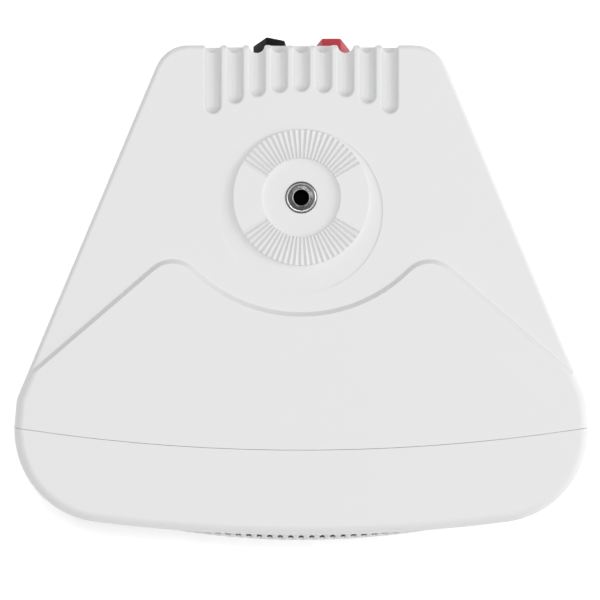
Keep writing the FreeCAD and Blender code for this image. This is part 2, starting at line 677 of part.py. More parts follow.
def ring_outline(sk):
    """The rectangle ring that the tongue and the gasket share."""
    wide, tall = "(rebate_half - play)", "(height/2 - rebate_lip - play)"
    rectangle(sk, "-" + wide, "-" + tall, wide, tall)
    wide, tall = "(rebate_half - play - tongue)", "(height/2 - rebate_lip - play - tongue)"
    rectangle(sk, "-" + wide, "-" + tall, wide, tall)


def drill(owner, radius, spots):
    """Round holes through the baffle, front to back, at (x, z) places."""
    sk = sketch(owner, "XZ_Plane", lift="-(baffle_front + baffle_thick + over)")
    for x, z in spots:
        circle(sk, radius, x, z)
    return pocket(owner, sk, "baffle_thick + 2*over", back=True)


def round_spots(radius, many):
    """Evenly spaced places round a circle, the first half a step off straight up."""
    angles = [90 + 180 / many + 360 * i / many for i in range(many)]
    return [("(%s*cos(%s))" % (radius, a), "(%s*sin(%s))" % (radius, a)) for a in angles]


def baffle_screw_spots():
    return [(x, z) for x in ("-screw_x", "screw_x") for z in ("-screw_z", "0", "screw_z")]


def cabinet_gasket():
    owner = body("cabinet_gasket", ("0", "0", MID))
    sk = sketch(owner, "XZ_Plane", lift="-rebate_y")
    ring_outline(sk)
    pad(owner, sk, "gasket_thick")
    return owner


def grille_block(label, inset):
    """The bowed block with round corners that the grille's outside or inside fills."""
    owner = body(label, ("0", "0", MID))
    half = "(open_half - grille_gap - %s)" % inset
    bow = "(grille_bow - sqrt((grille_bow - {0})^2 - {1}^2))".format(inset, half)
    back = "(grille_y + grille_fold + grille_bow - sqrt(grille_bow^2 - open_half^2) + 3*%s)" % inset
    front = "grille_y + " + bow
    corners = [("-" + half, front), (half, front), (half, back), ("-" + half, back)]
    plan = outline(sketch(owner), corners, {0: ("grille_bow - " + inset, -1)})
    pad(owner, plan, "height - 2*open_lip - 2*grille_gap - 2*%s" % inset, middle=True)

    def corner(edge):
        box = edge.BoundBox
        return box.YLength > 3 and box.XLength < 0.01 and box.ZLength < 0.01

    soften(owner, "open_round - grille_gap - " + inset, corner)
    behind = number(back) - 0.05
    soften(owner, "grille_edge - 0.9*" + inset, lambda e: e.BoundBox.YMax < behind)
    return owner


def grille():
    """Pressed steel sheet, bowed, with its edge folded back all round."""
    return cut("grille", grille_block("grille_outside", "0"), grille_block("grille_inside", "grille_sheet"))


# Inserts and screws

def insert(label, upper):
    """A turned insert with a countersunk mouth and a thread bore right through."""
    owner = body(label, ("0", "0", "0") if not upper else ("0", "0", "height - 2*set_back"))
    mouth = "-(insert_cone - insert_bore)"
    under = "(%s + insert_head_thick)" % mouth
    corners = [("insert_bore", "0"), ("insert_cone", mouth), ("insert_head", mouth), ("insert_head", under),
               ("insert_body", under), ("insert_body", "insert_long"), ("insert_bore", "insert_long")]
    sk = outline(sketch(owner, "XZ_Plane"), corners)
    made = owner.newObject("PartDesign::Revolution", label + "_revolution")
    made.Profile = sk
    made.ReferenceAxis = (sk, ["V_Axis"])
    made.Angle = 360
    if upper:
        owner.Placement.Rotation = FreeCAD.Rotation(Vector(1, 0, 0), 180)
    doc.recompute()
    return owner


def screws(label, spots, front, shank, head, head_tall, long):
    """Pan head screws driven rearwards, heads resting on the plane y = front."""
    pieces = []
    for x, z in spots:
        name = "%s_%d" % (label, len(pieces) + 1)
        owner = body(name, (x, front, z))
        corners = [("0", "-" + head_tall), (head + "*head_flat", "-" + head_tall),
                   (head, "-%s*head_side" % head_tall), (head, "0"), (shank, "0"),
                   (shank, "%s - %s" % (long, shank)), ("0", long)]
        made = owner.newObject("PartDesign::Revolution", name + "_revolution")
        made.Profile = outline(sketch(owner), corners)
        made.ReferenceAxis = (made.Profile[0], ["V_Axis"])
        made.Angle = 360
        doc.recompute()
        cross = sketch(owner, "XZ_Plane", lift=head_tall)
        arm, thin = "(%s*cross_arm)" % head, "(%s*cross_thin)" % head
        outline(cross, [("-" + arm, "-" + thin), ("-" + thin, "-" + thin), ("-" + thin, "-" + arm),
                        (thin, "-" + arm), (thin, "-" + thin), (arm, "-" + thin), (arm, thin), (thin, thin),
                        (thin, arm), ("-" + thin, arm), ("-" + thin, thin), ("-" + arm, thin)])
        pocket(owner, cross, head_tall + "*cross_deep")
        pieces.append(owner)
    return grouped(label, pieces)


# Woofer

def dome_radius(wide, tall):
    """The radius of a shallow cap with that half width and height."""
    return "((({0})^2 + ({1})^2)/(2*({1})))".format(wide, tall)


def woofer_basket():
    """Pressed steel: a flange, a windowed slope, a step for the spider and a cup."""
    front, behind = "-w_lip", "(baffle_thick + w_neck_deep)"
    basket = revolved("woofer_basket", WOOFER, [
        ("w_ledge", front), ("w_flange", front), ("w_flange", "0"), ("w_neck + w_neck_step", "0"),
        ("w_neck", behind), ("w_step_r + w_sheet", "w_step"), ("w_cup_r", "w_step + w_step_fall"),
        ("w_cup_r", "w_floor"), ("w_eye", "w_floor"), ("w_eye", "w_floor - w_sheet"),
        ("w_cup_r - w_sheet", "w_floor - w_sheet"), ("w_cup_r - w_sheet", "w_step + w_step_rise"),
        ("w_step_r", "w_step - w_step_rise"), ("w_ledge", behind + " - w_neck_step")])
    windows = sketch(basket, "XZ_Plane", lift="-(w_step - w_window_edge)")
    outline(windows, [("w_window_foot", "w_cup_r"), ("w_window_half", "w_neck + w_window_over"),
                      ("-w_window_half", "w_neck + w_window_over"), ("-w_window_foot", "w_cup_r")])
    hole = pocket(basket, windows, "w_step - w_window_edge - w_step_rise - %s" % behind, back=True)
    around = basket.newObject("PartDesign::PolarPattern", "basket_windows")
    around.Originals = [hole]
    around.Axis = (origin(basket, "Y_Axis"), [""])
    around.Angle = 360
    around.setExpression("Occurrences", bound("w_window_count"))
    basket.Tip = around
    doc.recompute()
    sk = sketch(basket, "XZ_Plane", lift="-over")
    for x, z in round_spots("woofer_screw", 4):
        circle(sk, "pilot + screw_clear", x, z)
    pocket(basket, sk, "w_lip + 3*over", back=True)
    return basket


def woofer_cone():
    """A straight cone that levels out under the surround's flap."""
    fall = "(w_cone_deep/(w_cone_out - w_cone_in))"
    front, back = "(-w_lip + w_glue)", "(-w_lip + w_glue + w_cone_sheet)"

    def on_slope(inset, lift):
        return ("w_roll_in - " + inset, "%s + (w_cone_out - w_roll_in + %s)*%s" % (lift, inset, fall))

    return revolved("woofer_cone", WOOFER, [
        ("w_cone_in", "w_cone_deep - w_lip"), on_slope("w_knee", front), ("w_roll_in - w_flat", front),
        ("w_cone_out", front), ("w_cone_out", back), ("w_roll_in - w_flat - w_knee_shift", back),
        on_slope("(w_knee + w_knee_shift)", back), ("w_cone_in", "w_cone_deep + %s" % back)])


def woofer_surround():
    """A half roll of even thickness with a flat flap on each side."""
    roll = "((w_roll_out - w_roll_in)/2)"
    base = "(-w_lip - w_roll_sheet)"
    flap = "w_roll_in - w_flap"
    # an arc a thousandth larger than a half circle's stays a shallow one
    arcs = {1: (roll + "*1.001", -1), 5: ("(%s - w_roll_sheet)*1.001" % roll, 1)}
    return revolved("woofer_surround", WOOFER, [
        (flap, base), ("w_roll_in", base), ("w_roll_out", base), ("w_gasket_out", base),
        ("w_gasket_out", "-w_lip"), ("w_roll_out - w_roll_sheet", "-w_lip"),
        ("w_roll_in + w_roll_sheet", "-w_lip"), (flap, "-w_lip")], arcs)


def woofer_motor():
    """The voice coil, and round it the front plate, magnet, pole and back plate."""
    wall, top = "w_coil_in + w_coil_wall", "w_cone_deep - w_lip - w_coil_over"
    coil = revolved("woofer_voice_coil", WOOFER, [
        ("w_coil_in", top), (wall, top), (wall, "w_wind_start"), ("w_wind_r", "w_wind_start"),
        ("w_wind_r", "w_wind_end"), (wall, "w_wind_end"), (wall, "w_coil_end"), ("w_coil_in", "w_coil_end")])
    plate = revolved("woofer_front_plate", WOOFER,
                     ring("w_plate_eye", "w_plate_r", "w_floor", "w_plate_thick"))
    magnet_y = "(w_floor + w_plate_thick)"
    magnet = revolved("woofer_magnet", WOOFER, ring("w_magnet_eye", "w_magnet_r", magnet_y, "w_magnet_thick"))
    back = "(w_floor + w_plate_thick + w_magnet_thick)"
    end, side = "%s + w_back_thick" % back, "w_plate_r + w_back_over"
    yoke = revolved("woofer_yoke", WOOFER, [
        ("0", "w_floor"), ("w_pole_r - w_pole_edge", "w_floor"), ("w_pole_r", "w_floor + w_pole_edge"),
        ("w_pole_r", back), (side, back), (side, end + " - w_back_edge"), (side + " - w_back_edge", end),
        ("0", end)])
    return [coil, plate, magnet, yoke]


def woofer():
    base, under = "(-w_lip - w_roll_sheet)", "(-w_lip - w_roll_sheet - w_gasket_tall)"
    gasket = revolved("woofer_gasket", WOOFER, [
        ("w_gasket_in", under), ("w_gasket_out", under), ("w_gasket_out", base), ("w_gasket_in", base)])
    cap_y = "(-w_lip + (w_cone_out - w_cap_r)*w_cone_deep/(w_cone_out - w_cone_in) - w_cap_sink)"
    inner_r, inner_tall = "w_cap_r - w_cap_sheet", "w_cap_tall - w_cap_sheet"
    cap = revolved("woofer_dust_cap", WOOFER, [
        ("0", "%s - w_cap_tall" % cap_y), ("w_cap_r", cap_y), (inner_r, cap_y),
        ("0", "%s - (%s)" % (cap_y, inner_tall))],
        {0: (dome_radius("w_cap_r", "w_cap_tall"), -1), 2: (dome_radius(inner_r, inner_tall), 1)})
    spider = revolved("woofer_spider", WOOFER, spider_outline())
    spots = [(x, "%s - woofer_low + %s" % (MID, z)) for x, z in round_spots("woofer_screw", 4)]
    heads = screws("woofer_screws", spots, "baffle_front - w_lip", "pilot", "w_screw_head", "w_screw_tall",
                   "w_screw_long")
    block = primitive("Box", "woofer_terminals",
                      {"Length": "w_block_wide", "Width": "w_block_deep", "Height": "w_block_tall"},
                      ("-(w_cup_r - w_block_in)", "baffle_front + w_floor",
                       MID + " - woofer_low - w_block_tall/2"))
    return [woofer_basket(), woofer_surround(), gasket, woofer_cone(), cap, spider, *woofer_motor(), heads,
            block]


def ring(inner, outer, start, thick):
    end = "%s + %s" % (start, thick)
    return [(inner, start), (outer, start), (outer, end), (inner, end)]


def spider_outline():
    """The corrugated disc: even waves between the coil and the basket's step."""
    waves, tall = 5, 1.1
    inner, outer = "(w_coil_in + w_coil_wall)", "(w_spider_out - w_spider_flat)"
    front = "w_step - w_step_rise - w_spider_thick"
    near = []
    for i in range(2 * waves + 1):
        x = "(%s + (%s - %s)*%s)" % (inner, outer, inner, i / (2 * waves))
        near.append((x, "%s - %s" % (front, tall * (i % 2))))
    near.append(("w_spider_out", front))
    far = [(x, "%s + w_spider_thick" % y) for x, y in reversed(near)]
    return near + far


# Tweeter

def tweeter():
    face = revolved("tweeter_faceplate", TWEETER, [
        ("t_throat", "-t_lip"), ("t_throat + t_edge", "-t_lip - t_flare"), ("t_horn_r", "-t_face_thick"),
        ("t_face_r - t_edge", "-t_face_thick"), ("t_face_r", "-t_face_thick + t_edge"), ("t_face_r", "0"),
        ("t_spigot", "0"), ("t_spigot", "t_spigot_deep"), ("t_throat", "t_spigot_deep")])
    holes = sketch(face, "XZ_Plane", lift="-over")
    for x, z in round_spots("tweeter_screw", 3):
        circle(holes, "tweeter_pilot + screw_clear", x, z)
    pocket(face, holes, "t_face_thick + 3*over", back=True)
    back, sheet_t = "t_dome_back", "t_dome_sheet"
    inner_r, inner_tall = "t_dome_r - t_dome_sheet", "t_dome_tall - t_dome_sheet"
    dome = revolved("tweeter_dome", TWEETER, [
        ("0", "t_dome_back - t_dome_tall"), ("t_dome_r", back), (inner_r, back),
        ("0", "t_dome_back - (%s)" % inner_tall)],
        {0: (dome_radius("t_dome_r", "t_dome_tall"), -1), 2: (dome_radius(inner_r, inner_tall), 1)})
    near, far, under = "t_dome_r + t_glue", "t_throat - t_gap", "t_dome_back + t_roll_sheet"
    surround = revolved("tweeter_surround", TWEETER, [(near, back), (far, back), (far, under), (near, under)],
                        {0: ("((t_throat - t_dome_r)/2*t_roll_share)", -1)})
    coil = revolved("tweeter_voice_coil", TWEETER,
                    ring("t_dome_r - " + sheet_t, "t_dome_r", back, "t_coil_end - " + back))
    front = "t_spigot_deep"
    plate = revolved("tweeter_front_plate", TWEETER, ring("t_plate_eye", "t_plate_r", front, "t_plate_thick"))
    magnet_y = "(%s + t_plate_thick)" % front
    magnet = revolved("tweeter_magnet", TWEETER,
                      ring("t_magnet_eye", "t_magnet_r", magnet_y, "t_magnet_thick"))
    rear = "(t_spigot_deep + t_plate_thick + t_magnet_thick)"
    end = "%s + t_back_thick" % rear
    yoke = revolved("tweeter_yoke", TWEETER, [
        ("0", front), ("t_pole_r", front), ("t_pole_r", rear), ("t_plate_r", rear), ("t_plate_r", end),
        ("0", end)])
    spots = [(x, "%s + tweeter_high + %s" % (MID, z)) for x, z in round_spots("tweeter_screw", 3)]
    heads = screws("tweeter_screws", spots, "baffle_front - t_face_thick", "tweeter_pilot", "t_screw_head",
                   "t_screw_tall", "t_screw_long")
    block = primitive("Box", "tweeter_terminals",
                      {"Length": "t_block_wide", "Width": "t_block_deep", "Height": "t_block_tall"},
                      ("-t_block_wide/2", "baffle_front + " + end, MID + " + tweeter_high - t_block_tall/2"))
    return [face, dome, surround, coil, plate, magnet, yoke, heads, block]


# Terminals

def terminal_cup(cutters):
    """The flush plate with its sloping well, notched where two grooves run into it."""
    owner = body("cup_blank", ("0", "0", MID))
    wedge = outline(sketch(owner, "YZ_Plane"), well_section("well_wall"))
    pad(owner, wedge, "2*(well_half + well_wall)", middle=True)
    plate = sketch(owner, "XZ_Plane", lift="-rear")
    rectangle(plate, "-flange_half", "well_top - well_mouth - flange_lip", "flange_half",
              "well_top + flange_lip")
    pad(owner, plate, "flange_thick", back=False)
    inside = outline(sketch(owner, "YZ_Plane"), well_section("0"))
    pocket(owner, inside, "2*well_half", middle=True)
    for x in ("-cup_screw_x", "cup_screw_x"):
        for z in ("-cup_screw_z", "cup_screw_z"):
            hole = circle(sketch(owner, "XZ_Plane", lift="-rear"), "cup_screw_hole", x, WELL_MID + " + " + z)
            pocket(owner, hole, "flange_thick", back=True)
    holes = [primitive("Cylinder", "post_hole", {"Radius": "bush_spigot", "Height": "post_hole_long"},
                       post_spot(side, "-post_hole_long/2"), POST_TURN) for side in ("-", "")]
    return cut("terminal_cup", owner, joined("cup_cuts", holes + [cutters]))


POST_TURN = FreeCAD.Rotation(Vector(1, 0, 0), -90 - SIZES["well_tilt"])


def post_spot(side, along):
    """A place on a binding post's axis: side is the sign of x, along the way out from
    the well's sloping face."""
    y = "rear - post_down*%s + (%s)*%s" % (WELL_SIN, along, WELL_COS)
    z = "%s + well_top - post_down*%s - (%s)*%s" % (MID, WELL_COS, along, WELL_SIN)
    return (side + "post_x", y, z)


def on_post(label, side, corners):
    """A piece turned about a binding post, in (radius, way out)."""
    owner = body(label, post_spot(side, "0"))
    sk = outline(sketch(owner, "XZ_Plane"), corners)
    made = owner.newObject("PartDesign::Revolution", label + "_revolution")
    made.Profile = sk
    made.ReferenceAxis = (sk, ["V_Axis"])
    made.Angle = 360
    owner.Placement.Rotation = POST_TURN
    doc.recompute()
    return owner


def binding_post(colour, side):
    spigot, under = "bush_spigot - screw_gap", "-well_wall - bush_under"
    bush = on_post(colour + "_bush", side, [
        ("post_r", under), (spigot, under), (spigot, "0"), ("bush_r", "0"),
        ("bush_r", "bush_tall - bush_edge"), ("bush_r - bush_edge", "bush_tall"), ("post_r", "bush_tall")])
    post = on_post(colour + "_post", side, [
        ("0", "-post_in"), ("post_r - post_edge", "-post_in"), ("post_r", "-post_in + post_edge"),
        ("post_r", "post_out - post_edge"), ("post_r - post_edge", "post_out"), ("0", "post_out")])
    washer = on_post(colour + "_clamp_washer", side,
                     ring("knob_bore", "washer_r", "(bush_tall + stack_gap)", "washer_thick"))
    return [bush, post, washer, knob(colour, side)]


def knob(colour, side):
    """A six-sided knob with chamfered ends and a blind thread bore."""
    start = "(bush_tall + washer_thick + washer_play)"
    label = colour + "_knob"
    owner = body(label, post_spot(side, "0"))
    turn = 0 if colour == "red" else SIZES["black_turn"]
    sk = sketch(owner, lift=start)
    corner = "(knob_flats/2/cos(30))"
    angles = [60 * i + turn for i in range(6)]
    outline(sk, [("%s*cos(%s)" % (corner, a), "%s*sin(%s)" % (corner, a)) for a in angles])
    pad(owner, sk, "knob_tall")
    low, high = number(start), number(start + " + knob_tall")
    soften(owner, "knob_edge", lambda e: level(e, high), "Chamfer")
    soften(owner, "knob_foot", lambda e: level(e, low), "Chamfer")
    bore = circle(sketch(owner, lift=start), "knob_bore")
    pocket(owner, bore, "post_out - %s + bore_over" % start, back=True)
    owner.Placement.Rotation = POST_TURN
    doc.recompute()
    return owner


def terminal_nuts():
    """Behind the cup: on each post a washer-faced nut and a solder tag."""
    pieces = []
    for side in ("-", ""):
        for kind, thick in (("tag", "tag_thick"), ("nut", "nut_tall")):
            name = "%s_%s" % (kind, "left" if side else "right")
            outside = ring("post_r + nut_gap", kind + "_r", "-well_wall - %s_back" % kind, thick)
            pieces.append(on_post(name, side, outside))
    return grouped("terminal_nuts", pieces)


def cup_screws():
    """Four countersunk screws, their heads flush with the cup's plate."""
    pieces = []
    for x in ("-cup_screw_x", "cup_screw_x"):
        for z in ("-cup_screw_z", "cup_screw_z"):
            name = "cup_screw_%d" % (len(pieces) + 1)
            owner = body(name, (x, "rear", "%s + %s + %s" % (MID, WELL_MID, z)))
            head, shank = "cup_screw_hole - screw_gap", "cup_pilot - screw_gap"
            sk = outline(sketch(owner), [
                ("0", "-flush"), (head, "-flush"), (head, "-flange_thick"), (shank, "-flange_thick"),
                (shank, "-wall + play"), ("0", "-wall + play")])
            made = owner.newObject("PartDesign::Revolution", name + "_revolution")
            made.Profile = sk
            made.ReferenceAxis = (sk, ["V_Axis"])
            made.Angle = 360
            doc.recompute()
            pieces.append(owner)
    return grouped("terminal_cup_screws", pieces)


# Crossover and inside

def crossover():
    low, far = MID + " + board_low", "board_low + board_tall"
    plank = primitive("Box", "board_blank",
                      {"Length": "2*board_half", "Width": "board_thick", "Height": "board_tall"},
                      ("-board_half", "board_y", low))
    levels = ("board_low + board_inset", far + " - board_inset")
    spots = [(x, "%s + %s" % (MID, z)) for x in ("-standoff_x", "standoff_x") for z in levels]
    holes = [primitive("Cylinder", "board_hole", {"Radius": "board_hole", "Height": "board_thick + 2*over"},
                       (x, "board_y - over", z), ALONG_Y) for x, z in spots]
    board = cut("crossover_board", plank, joined("board_holes", holes))
    heads = screws("crossover_screws", spots, "board_y", "standoff_pilot", "board_head", "board_head_tall",
                   "board_screw_long")
    coils, cans = [], []
    for end in ("low", "high"):
        turns = ring(end + "_coil_in", end + "_coil_r", "-%s_coil_tall" % end, end + "_coil_tall")
        centre = (end + "_coil_x", "board_y", "%s + %s_coil_z" % (MID, end))
        coils.append(revolved("coil_" + end, centre, turns))
        spot = (end + "_can_x", "board_y - %s_can_r - flush" % end, "%s + %s_can_z" % (MID, end))
        size = {"Radius": end + "_can_r", "Height": end + "_can_long"}
        cans.append(primitive("Cylinder", "can_" + end, size, spot, ALONG_X))
    load = primitive("Box", "crossover_resistor",
                     {"Length": "load_long", "Width": "load_side", "Height": "load_side"},
                     ("load_x", "board_y - load_side", MID + " + load_z"))
    return [board, heads, grouped("crossover_coils", coils), grouped("crossover_capacitors", cans), load]


def damping_wadding():
    return primitive("Box", "damping_wadding",
                     {"Length": "wad_wide", "Width": "wad_thick", "Height": "wad_tall"},
                     ("-wad_wide/2", "wad_y", "wad_low"))


def lead(points, radius):
    """An insulated lead: straight runs joined by tangent arcs, and its end discs."""
    edges = []
    start = points[0]
    for before, spot, after in zip(points, points[1:], points[2:]):
        come, go = (spot - before), (after - spot)
        half = come.getAngle(go) / 2
        reach = 0.45 * min(come.Length, go.Length)
        first = spot - come.normalize() * reach
        last = spot + go.normalize() * reach
        bow = radius_of(reach, half)
        inward = (go - come).normalize()
        middle = spot + inward * (bow / math.cos(half) - bow)
        edges.append(Part.LineSegment(start, first).toShape())
        edges.append(Part.Arc(first, middle, last).toShape())
        start = last
    edges.append(Part.LineSegment(start, points[-1]).toShape())
    path = Part.Wire(edges)
    disc = Part.Wire(Part.Circle(points[0], points[1] - points[0], radius).toShape())
    return path.makePipeShell([disc], True, False)


def radius_of(reach, half):
    return reach / math.tan(half)


def leads(label, routes):
    """A pair of leads as one node, each a solid of its own."""
    made = doc.addObject("Part::Feature", label)
    made.Label = label
    made.Shape = Part.Compound([lead([Vector(*p) for p in route], number("lead_r")) for route in routes])
    made.Placement = FreeCAD.Placement()
    return made


def wiring():
    """Terminals to crossover, and crossover to each driver."""
    mid, board = number(MID), number("board_y")
    low, high = mid - number("woofer_low"), mid + number("tweeter_high")
    block_x, block_y = -number("w_cup_r - w_block_in"), number("baffle_front + w_floor + w_block_deep/2")
    motor = "t_spigot_deep + t_plate_thick + t_magnet_thick + t_back_thick"
    back_y = number("baffle_front + %s + t_block_deep" % motor)
    woofer_routes, tweeter_routes, post_routes = [], [], []
    for side in (-1, 1):
        z = low + 2.2 * side
        woofer_routes.append([(block_x, block_y, z), (block_x - 10, block_y, z), (block_x - 11, -12, z),
                              (-33 - 1.5 * side, 10, z), (-33 - 1.5 * side, board, z)])
        x = 3 * side
        tweeter_routes.append([(x, back_y, high), (x, back_y + 26, high), (x, -12, 145), (x, 14, 122),
                               (x, board, 122)])
        x = number("post_x") * side
        y = number("rear - post_down*%s - post_in*%s" % (WELL_SIN, WELL_COS))
        z = number("%s + well_top - post_down*%s + post_in*%s" % (MID, WELL_COS, WELL_SIN))
        out = Vector(0, -number(WELL_COS), number(WELL_SIN))
        first = Vector(x, y, z)
        second = first + out * 11
        post_routes.append([tuple(first), tuple(second), (x, 9, 210), (x, 3, 198), (x, 5, 148),
                            (x, 16, 124), (x, board, 124)])
    return [leads("woofer_leads", woofer_routes), leads("tweeter_leads", tweeter_routes),
            leads("terminal_leads", post_routes)]


def export(pieces):
    """Stops on anything failed, empty or invalid, then writes one file for each node."""
    failed = [o.Name for o in doc.Objects if "Invalid" in o.State or "Error" in o.State]
    if failed:
        raise RuntimeError("failed: " + ", ".join(failed))
    for piece in pieces:
        if piece.Shape.isNull() or not piece.Shape.isValid() or not piece.Shape.Solids:
            raise RuntimeError("bad shape: " + piece.Label)
    os.makedirs("parts", exist_ok=True)
    for piece in pieces:
        piece.Shape.exportStep("parts/%s.step" % piece.Label)
        print("%-22s %d solids %9.0f mm3" % (piece.Label, len(piece.Shape.Solids), piece.Shape.Volume))


fill_sheet()
upper_grooves, lower_grooves = grooves(True), grooves(False)
parts = [rear_cabinet(joined("all_grooves", [upper_grooves, lower_grooves])), front_bezel(),
         cabinet_gasket(), grille(), insert("top_insert", True), insert("bottom_insert", False),
         screws("baffle_screws", [(x, MID + " + " + z) for x, z in baffle_screw_spots()], "baffle_front",
                "pilot", "screw_head", "screw_head_tall", "screw_long")]
parts += woofer() + tweeter()
parts += [terminal_cup(upper_grooves), terminal_nuts(), cup_screws()]
parts += binding_post("red", "") + binding_post("black", "-")
parts += crossover() + [damping_wadding()] + wiring()
doc.recompute()
export(parts)
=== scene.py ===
import json
import math
import bmesh
import bpy
from mathutils import Matrix, Vector, noise
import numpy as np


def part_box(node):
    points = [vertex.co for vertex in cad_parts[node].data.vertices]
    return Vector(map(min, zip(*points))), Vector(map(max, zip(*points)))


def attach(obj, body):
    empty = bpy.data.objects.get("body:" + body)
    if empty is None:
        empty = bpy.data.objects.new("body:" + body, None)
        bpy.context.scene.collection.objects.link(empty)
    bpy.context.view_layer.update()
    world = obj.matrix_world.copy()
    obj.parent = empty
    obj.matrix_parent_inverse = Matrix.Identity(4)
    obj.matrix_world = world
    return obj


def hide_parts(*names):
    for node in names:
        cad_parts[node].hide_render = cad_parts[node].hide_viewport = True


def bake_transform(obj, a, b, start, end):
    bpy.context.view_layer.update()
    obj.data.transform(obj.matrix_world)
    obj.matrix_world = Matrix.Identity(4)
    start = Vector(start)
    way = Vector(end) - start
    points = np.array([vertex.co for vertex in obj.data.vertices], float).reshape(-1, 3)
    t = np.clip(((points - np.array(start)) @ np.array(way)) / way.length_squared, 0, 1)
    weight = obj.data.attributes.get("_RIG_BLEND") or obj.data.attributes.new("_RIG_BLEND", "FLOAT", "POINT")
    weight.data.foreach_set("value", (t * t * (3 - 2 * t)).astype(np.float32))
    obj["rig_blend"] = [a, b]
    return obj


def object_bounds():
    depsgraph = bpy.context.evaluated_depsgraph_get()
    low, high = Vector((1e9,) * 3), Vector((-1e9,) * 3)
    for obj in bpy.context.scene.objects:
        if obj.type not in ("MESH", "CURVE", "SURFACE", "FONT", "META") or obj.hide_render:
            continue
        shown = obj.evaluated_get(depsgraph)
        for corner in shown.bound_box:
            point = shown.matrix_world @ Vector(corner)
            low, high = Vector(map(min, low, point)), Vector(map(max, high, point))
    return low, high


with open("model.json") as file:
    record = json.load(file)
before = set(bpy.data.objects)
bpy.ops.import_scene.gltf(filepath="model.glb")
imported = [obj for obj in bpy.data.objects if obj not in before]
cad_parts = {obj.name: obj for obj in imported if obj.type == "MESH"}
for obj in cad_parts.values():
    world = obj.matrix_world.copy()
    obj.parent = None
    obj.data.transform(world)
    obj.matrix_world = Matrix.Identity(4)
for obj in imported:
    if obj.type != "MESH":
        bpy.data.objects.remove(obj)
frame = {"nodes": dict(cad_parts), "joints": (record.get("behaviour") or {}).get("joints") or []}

# Two-way wall loudspeaker, standing upright: x to the side, -y out through the grille, z up.
# Blender's unit is the metre. The dictionaries hold millimetres unless they say otherwise, and mm turns
# them into metres.
mm = 0.001
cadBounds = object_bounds()
cadLow, cadHigh = cadBounds
print("frame loaded with", len(frame["nodes"]), "nodes")


# node trees

def addNode(tree, kind, settings=None, values=None):
    node = tree.nodes.new(kind)
    for key, value in (settings or {}).items():
        setattr(node, key, value)
    for key, value in (values or {}).items():
        node.inputs[key].default_value = value
    return node


def maths(tree, operation, first, second=None, third=None):
    node = addNode(tree, "ShaderNodeMath", {"operation": operation})
    for i, value in enumerate((first, second, third)):
        if value is None:
            continue
        if isinstance(value, (int, float)):
            node.inputs[i].default_value = value
        else:
            tree.links.new(value, node.inputs[i])
    return node.outputs[0]


def mixColour(tree, factor, first, second):
    node = addNode(tree, "ShaderNodeMix", {"data_type": "RGBA", "blend_type": "MIX"})
    for label, kind, value in (("Factor", "VALUE", factor), ("A", "RGBA", first), ("B", "RGBA", second)):
        socket = [s for s in node.inputs if s.name == label and s.type == kind][0]
        if isinstance(value, bpy.types.NodeSocket):
            tree.links.new(value, socket)
        else:
            socket.default_value = value if kind == "VALUE" else (*value, 1)
    return [s for s in node.outputs if s.type == "RGBA"][0]


def newGroup(name, inputs, outputs):
    tree = bpy.data.node_groups.new(name, "ShaderNodeTree")
    for label, start in inputs.items():
        socket = tree.interface.new_socket(name=label, in_out="INPUT", socket_type="NodeSocketFloat")
        socket.default_value = start
    for label in outputs:
        tree.interface.new_socket(name=label, in_out="OUTPUT", socket_type="NodeSocketFloat")
    return tree, tree.nodes.new("NodeGroupInput").outputs, tree.nodes.new("NodeGroupOutput").inputs


def objectCoords(tree):
    return addNode(tree, "ShaderNodeTexCoord").outputs["Object"]


def noiseAt(tree, scale, detail=2.0, rough=0.5, coords=None):
    node = addNode(tree, "ShaderNodeTexNoise", None, {"Detail": detail, "Roughness": rough})
    tree.links.new(coords or objectCoords(tree), node.inputs["Vector"])
    if isinstance(scale, (int, float)):
        node.inputs["Scale"].default_value = scale
    else:
        tree.links.new(scale, node.inputs["Scale"])
    return node.outputs["Fac"]


def makeGrainGroup():
    # fine moulded or sprayed grain: Height for bump, Tint for slow changes of shade
    starts = {"Grains per metre": 2200.0, "Patches per metre": 25.0}
    tree, given, result = newGroup("mouldedGrain", starts, ["Height", "Tint"])
    fine = noiseAt(tree, given["Grains per metre"], 3.0, 0.6)
    tree.links.new(fine, result["Height"])
    tree.links.new(noiseAt(tree, given["Patches per metre"], 2.0), result["Tint"])
    return tree


streakSizes = {"turn": (0.4, 0.3, 0.7), "stretch": (1.0, 14.0, 6.0), "threshold": 0.74, "contrast": 9.0}


def makeHandlingGroup():
    # faint rub marks: thin streaks where the surface has been slid over
    tree, given, result = newGroup("handlingMarks", {"Streaks per metre": 60.0, "Share": 0.1}, ["Mask"])
    s = streakSizes
    turned = addNode(tree, "ShaderNodeMapping", None, {"Rotation": s["turn"], "Scale": s["stretch"]})
    tree.links.new(objectCoords(tree), turned.inputs["Vector"])
    streaks = noiseAt(tree, given["Streaks per metre"], 4.0, 0.7, turned.outputs["Vector"])
    threshold = maths(tree, "SUBTRACT", s["threshold"], given["Share"])
    above = maths(tree, "MULTIPLY", maths(tree, "SUBTRACT", streaks, threshold), s["contrast"])
    clamped = addNode(tree, "ShaderNodeClamp")
    tree.links.new(above, clamped.inputs["Value"])
    tree.links.new(clamped.outputs["Result"], result["Mask"])
    return tree


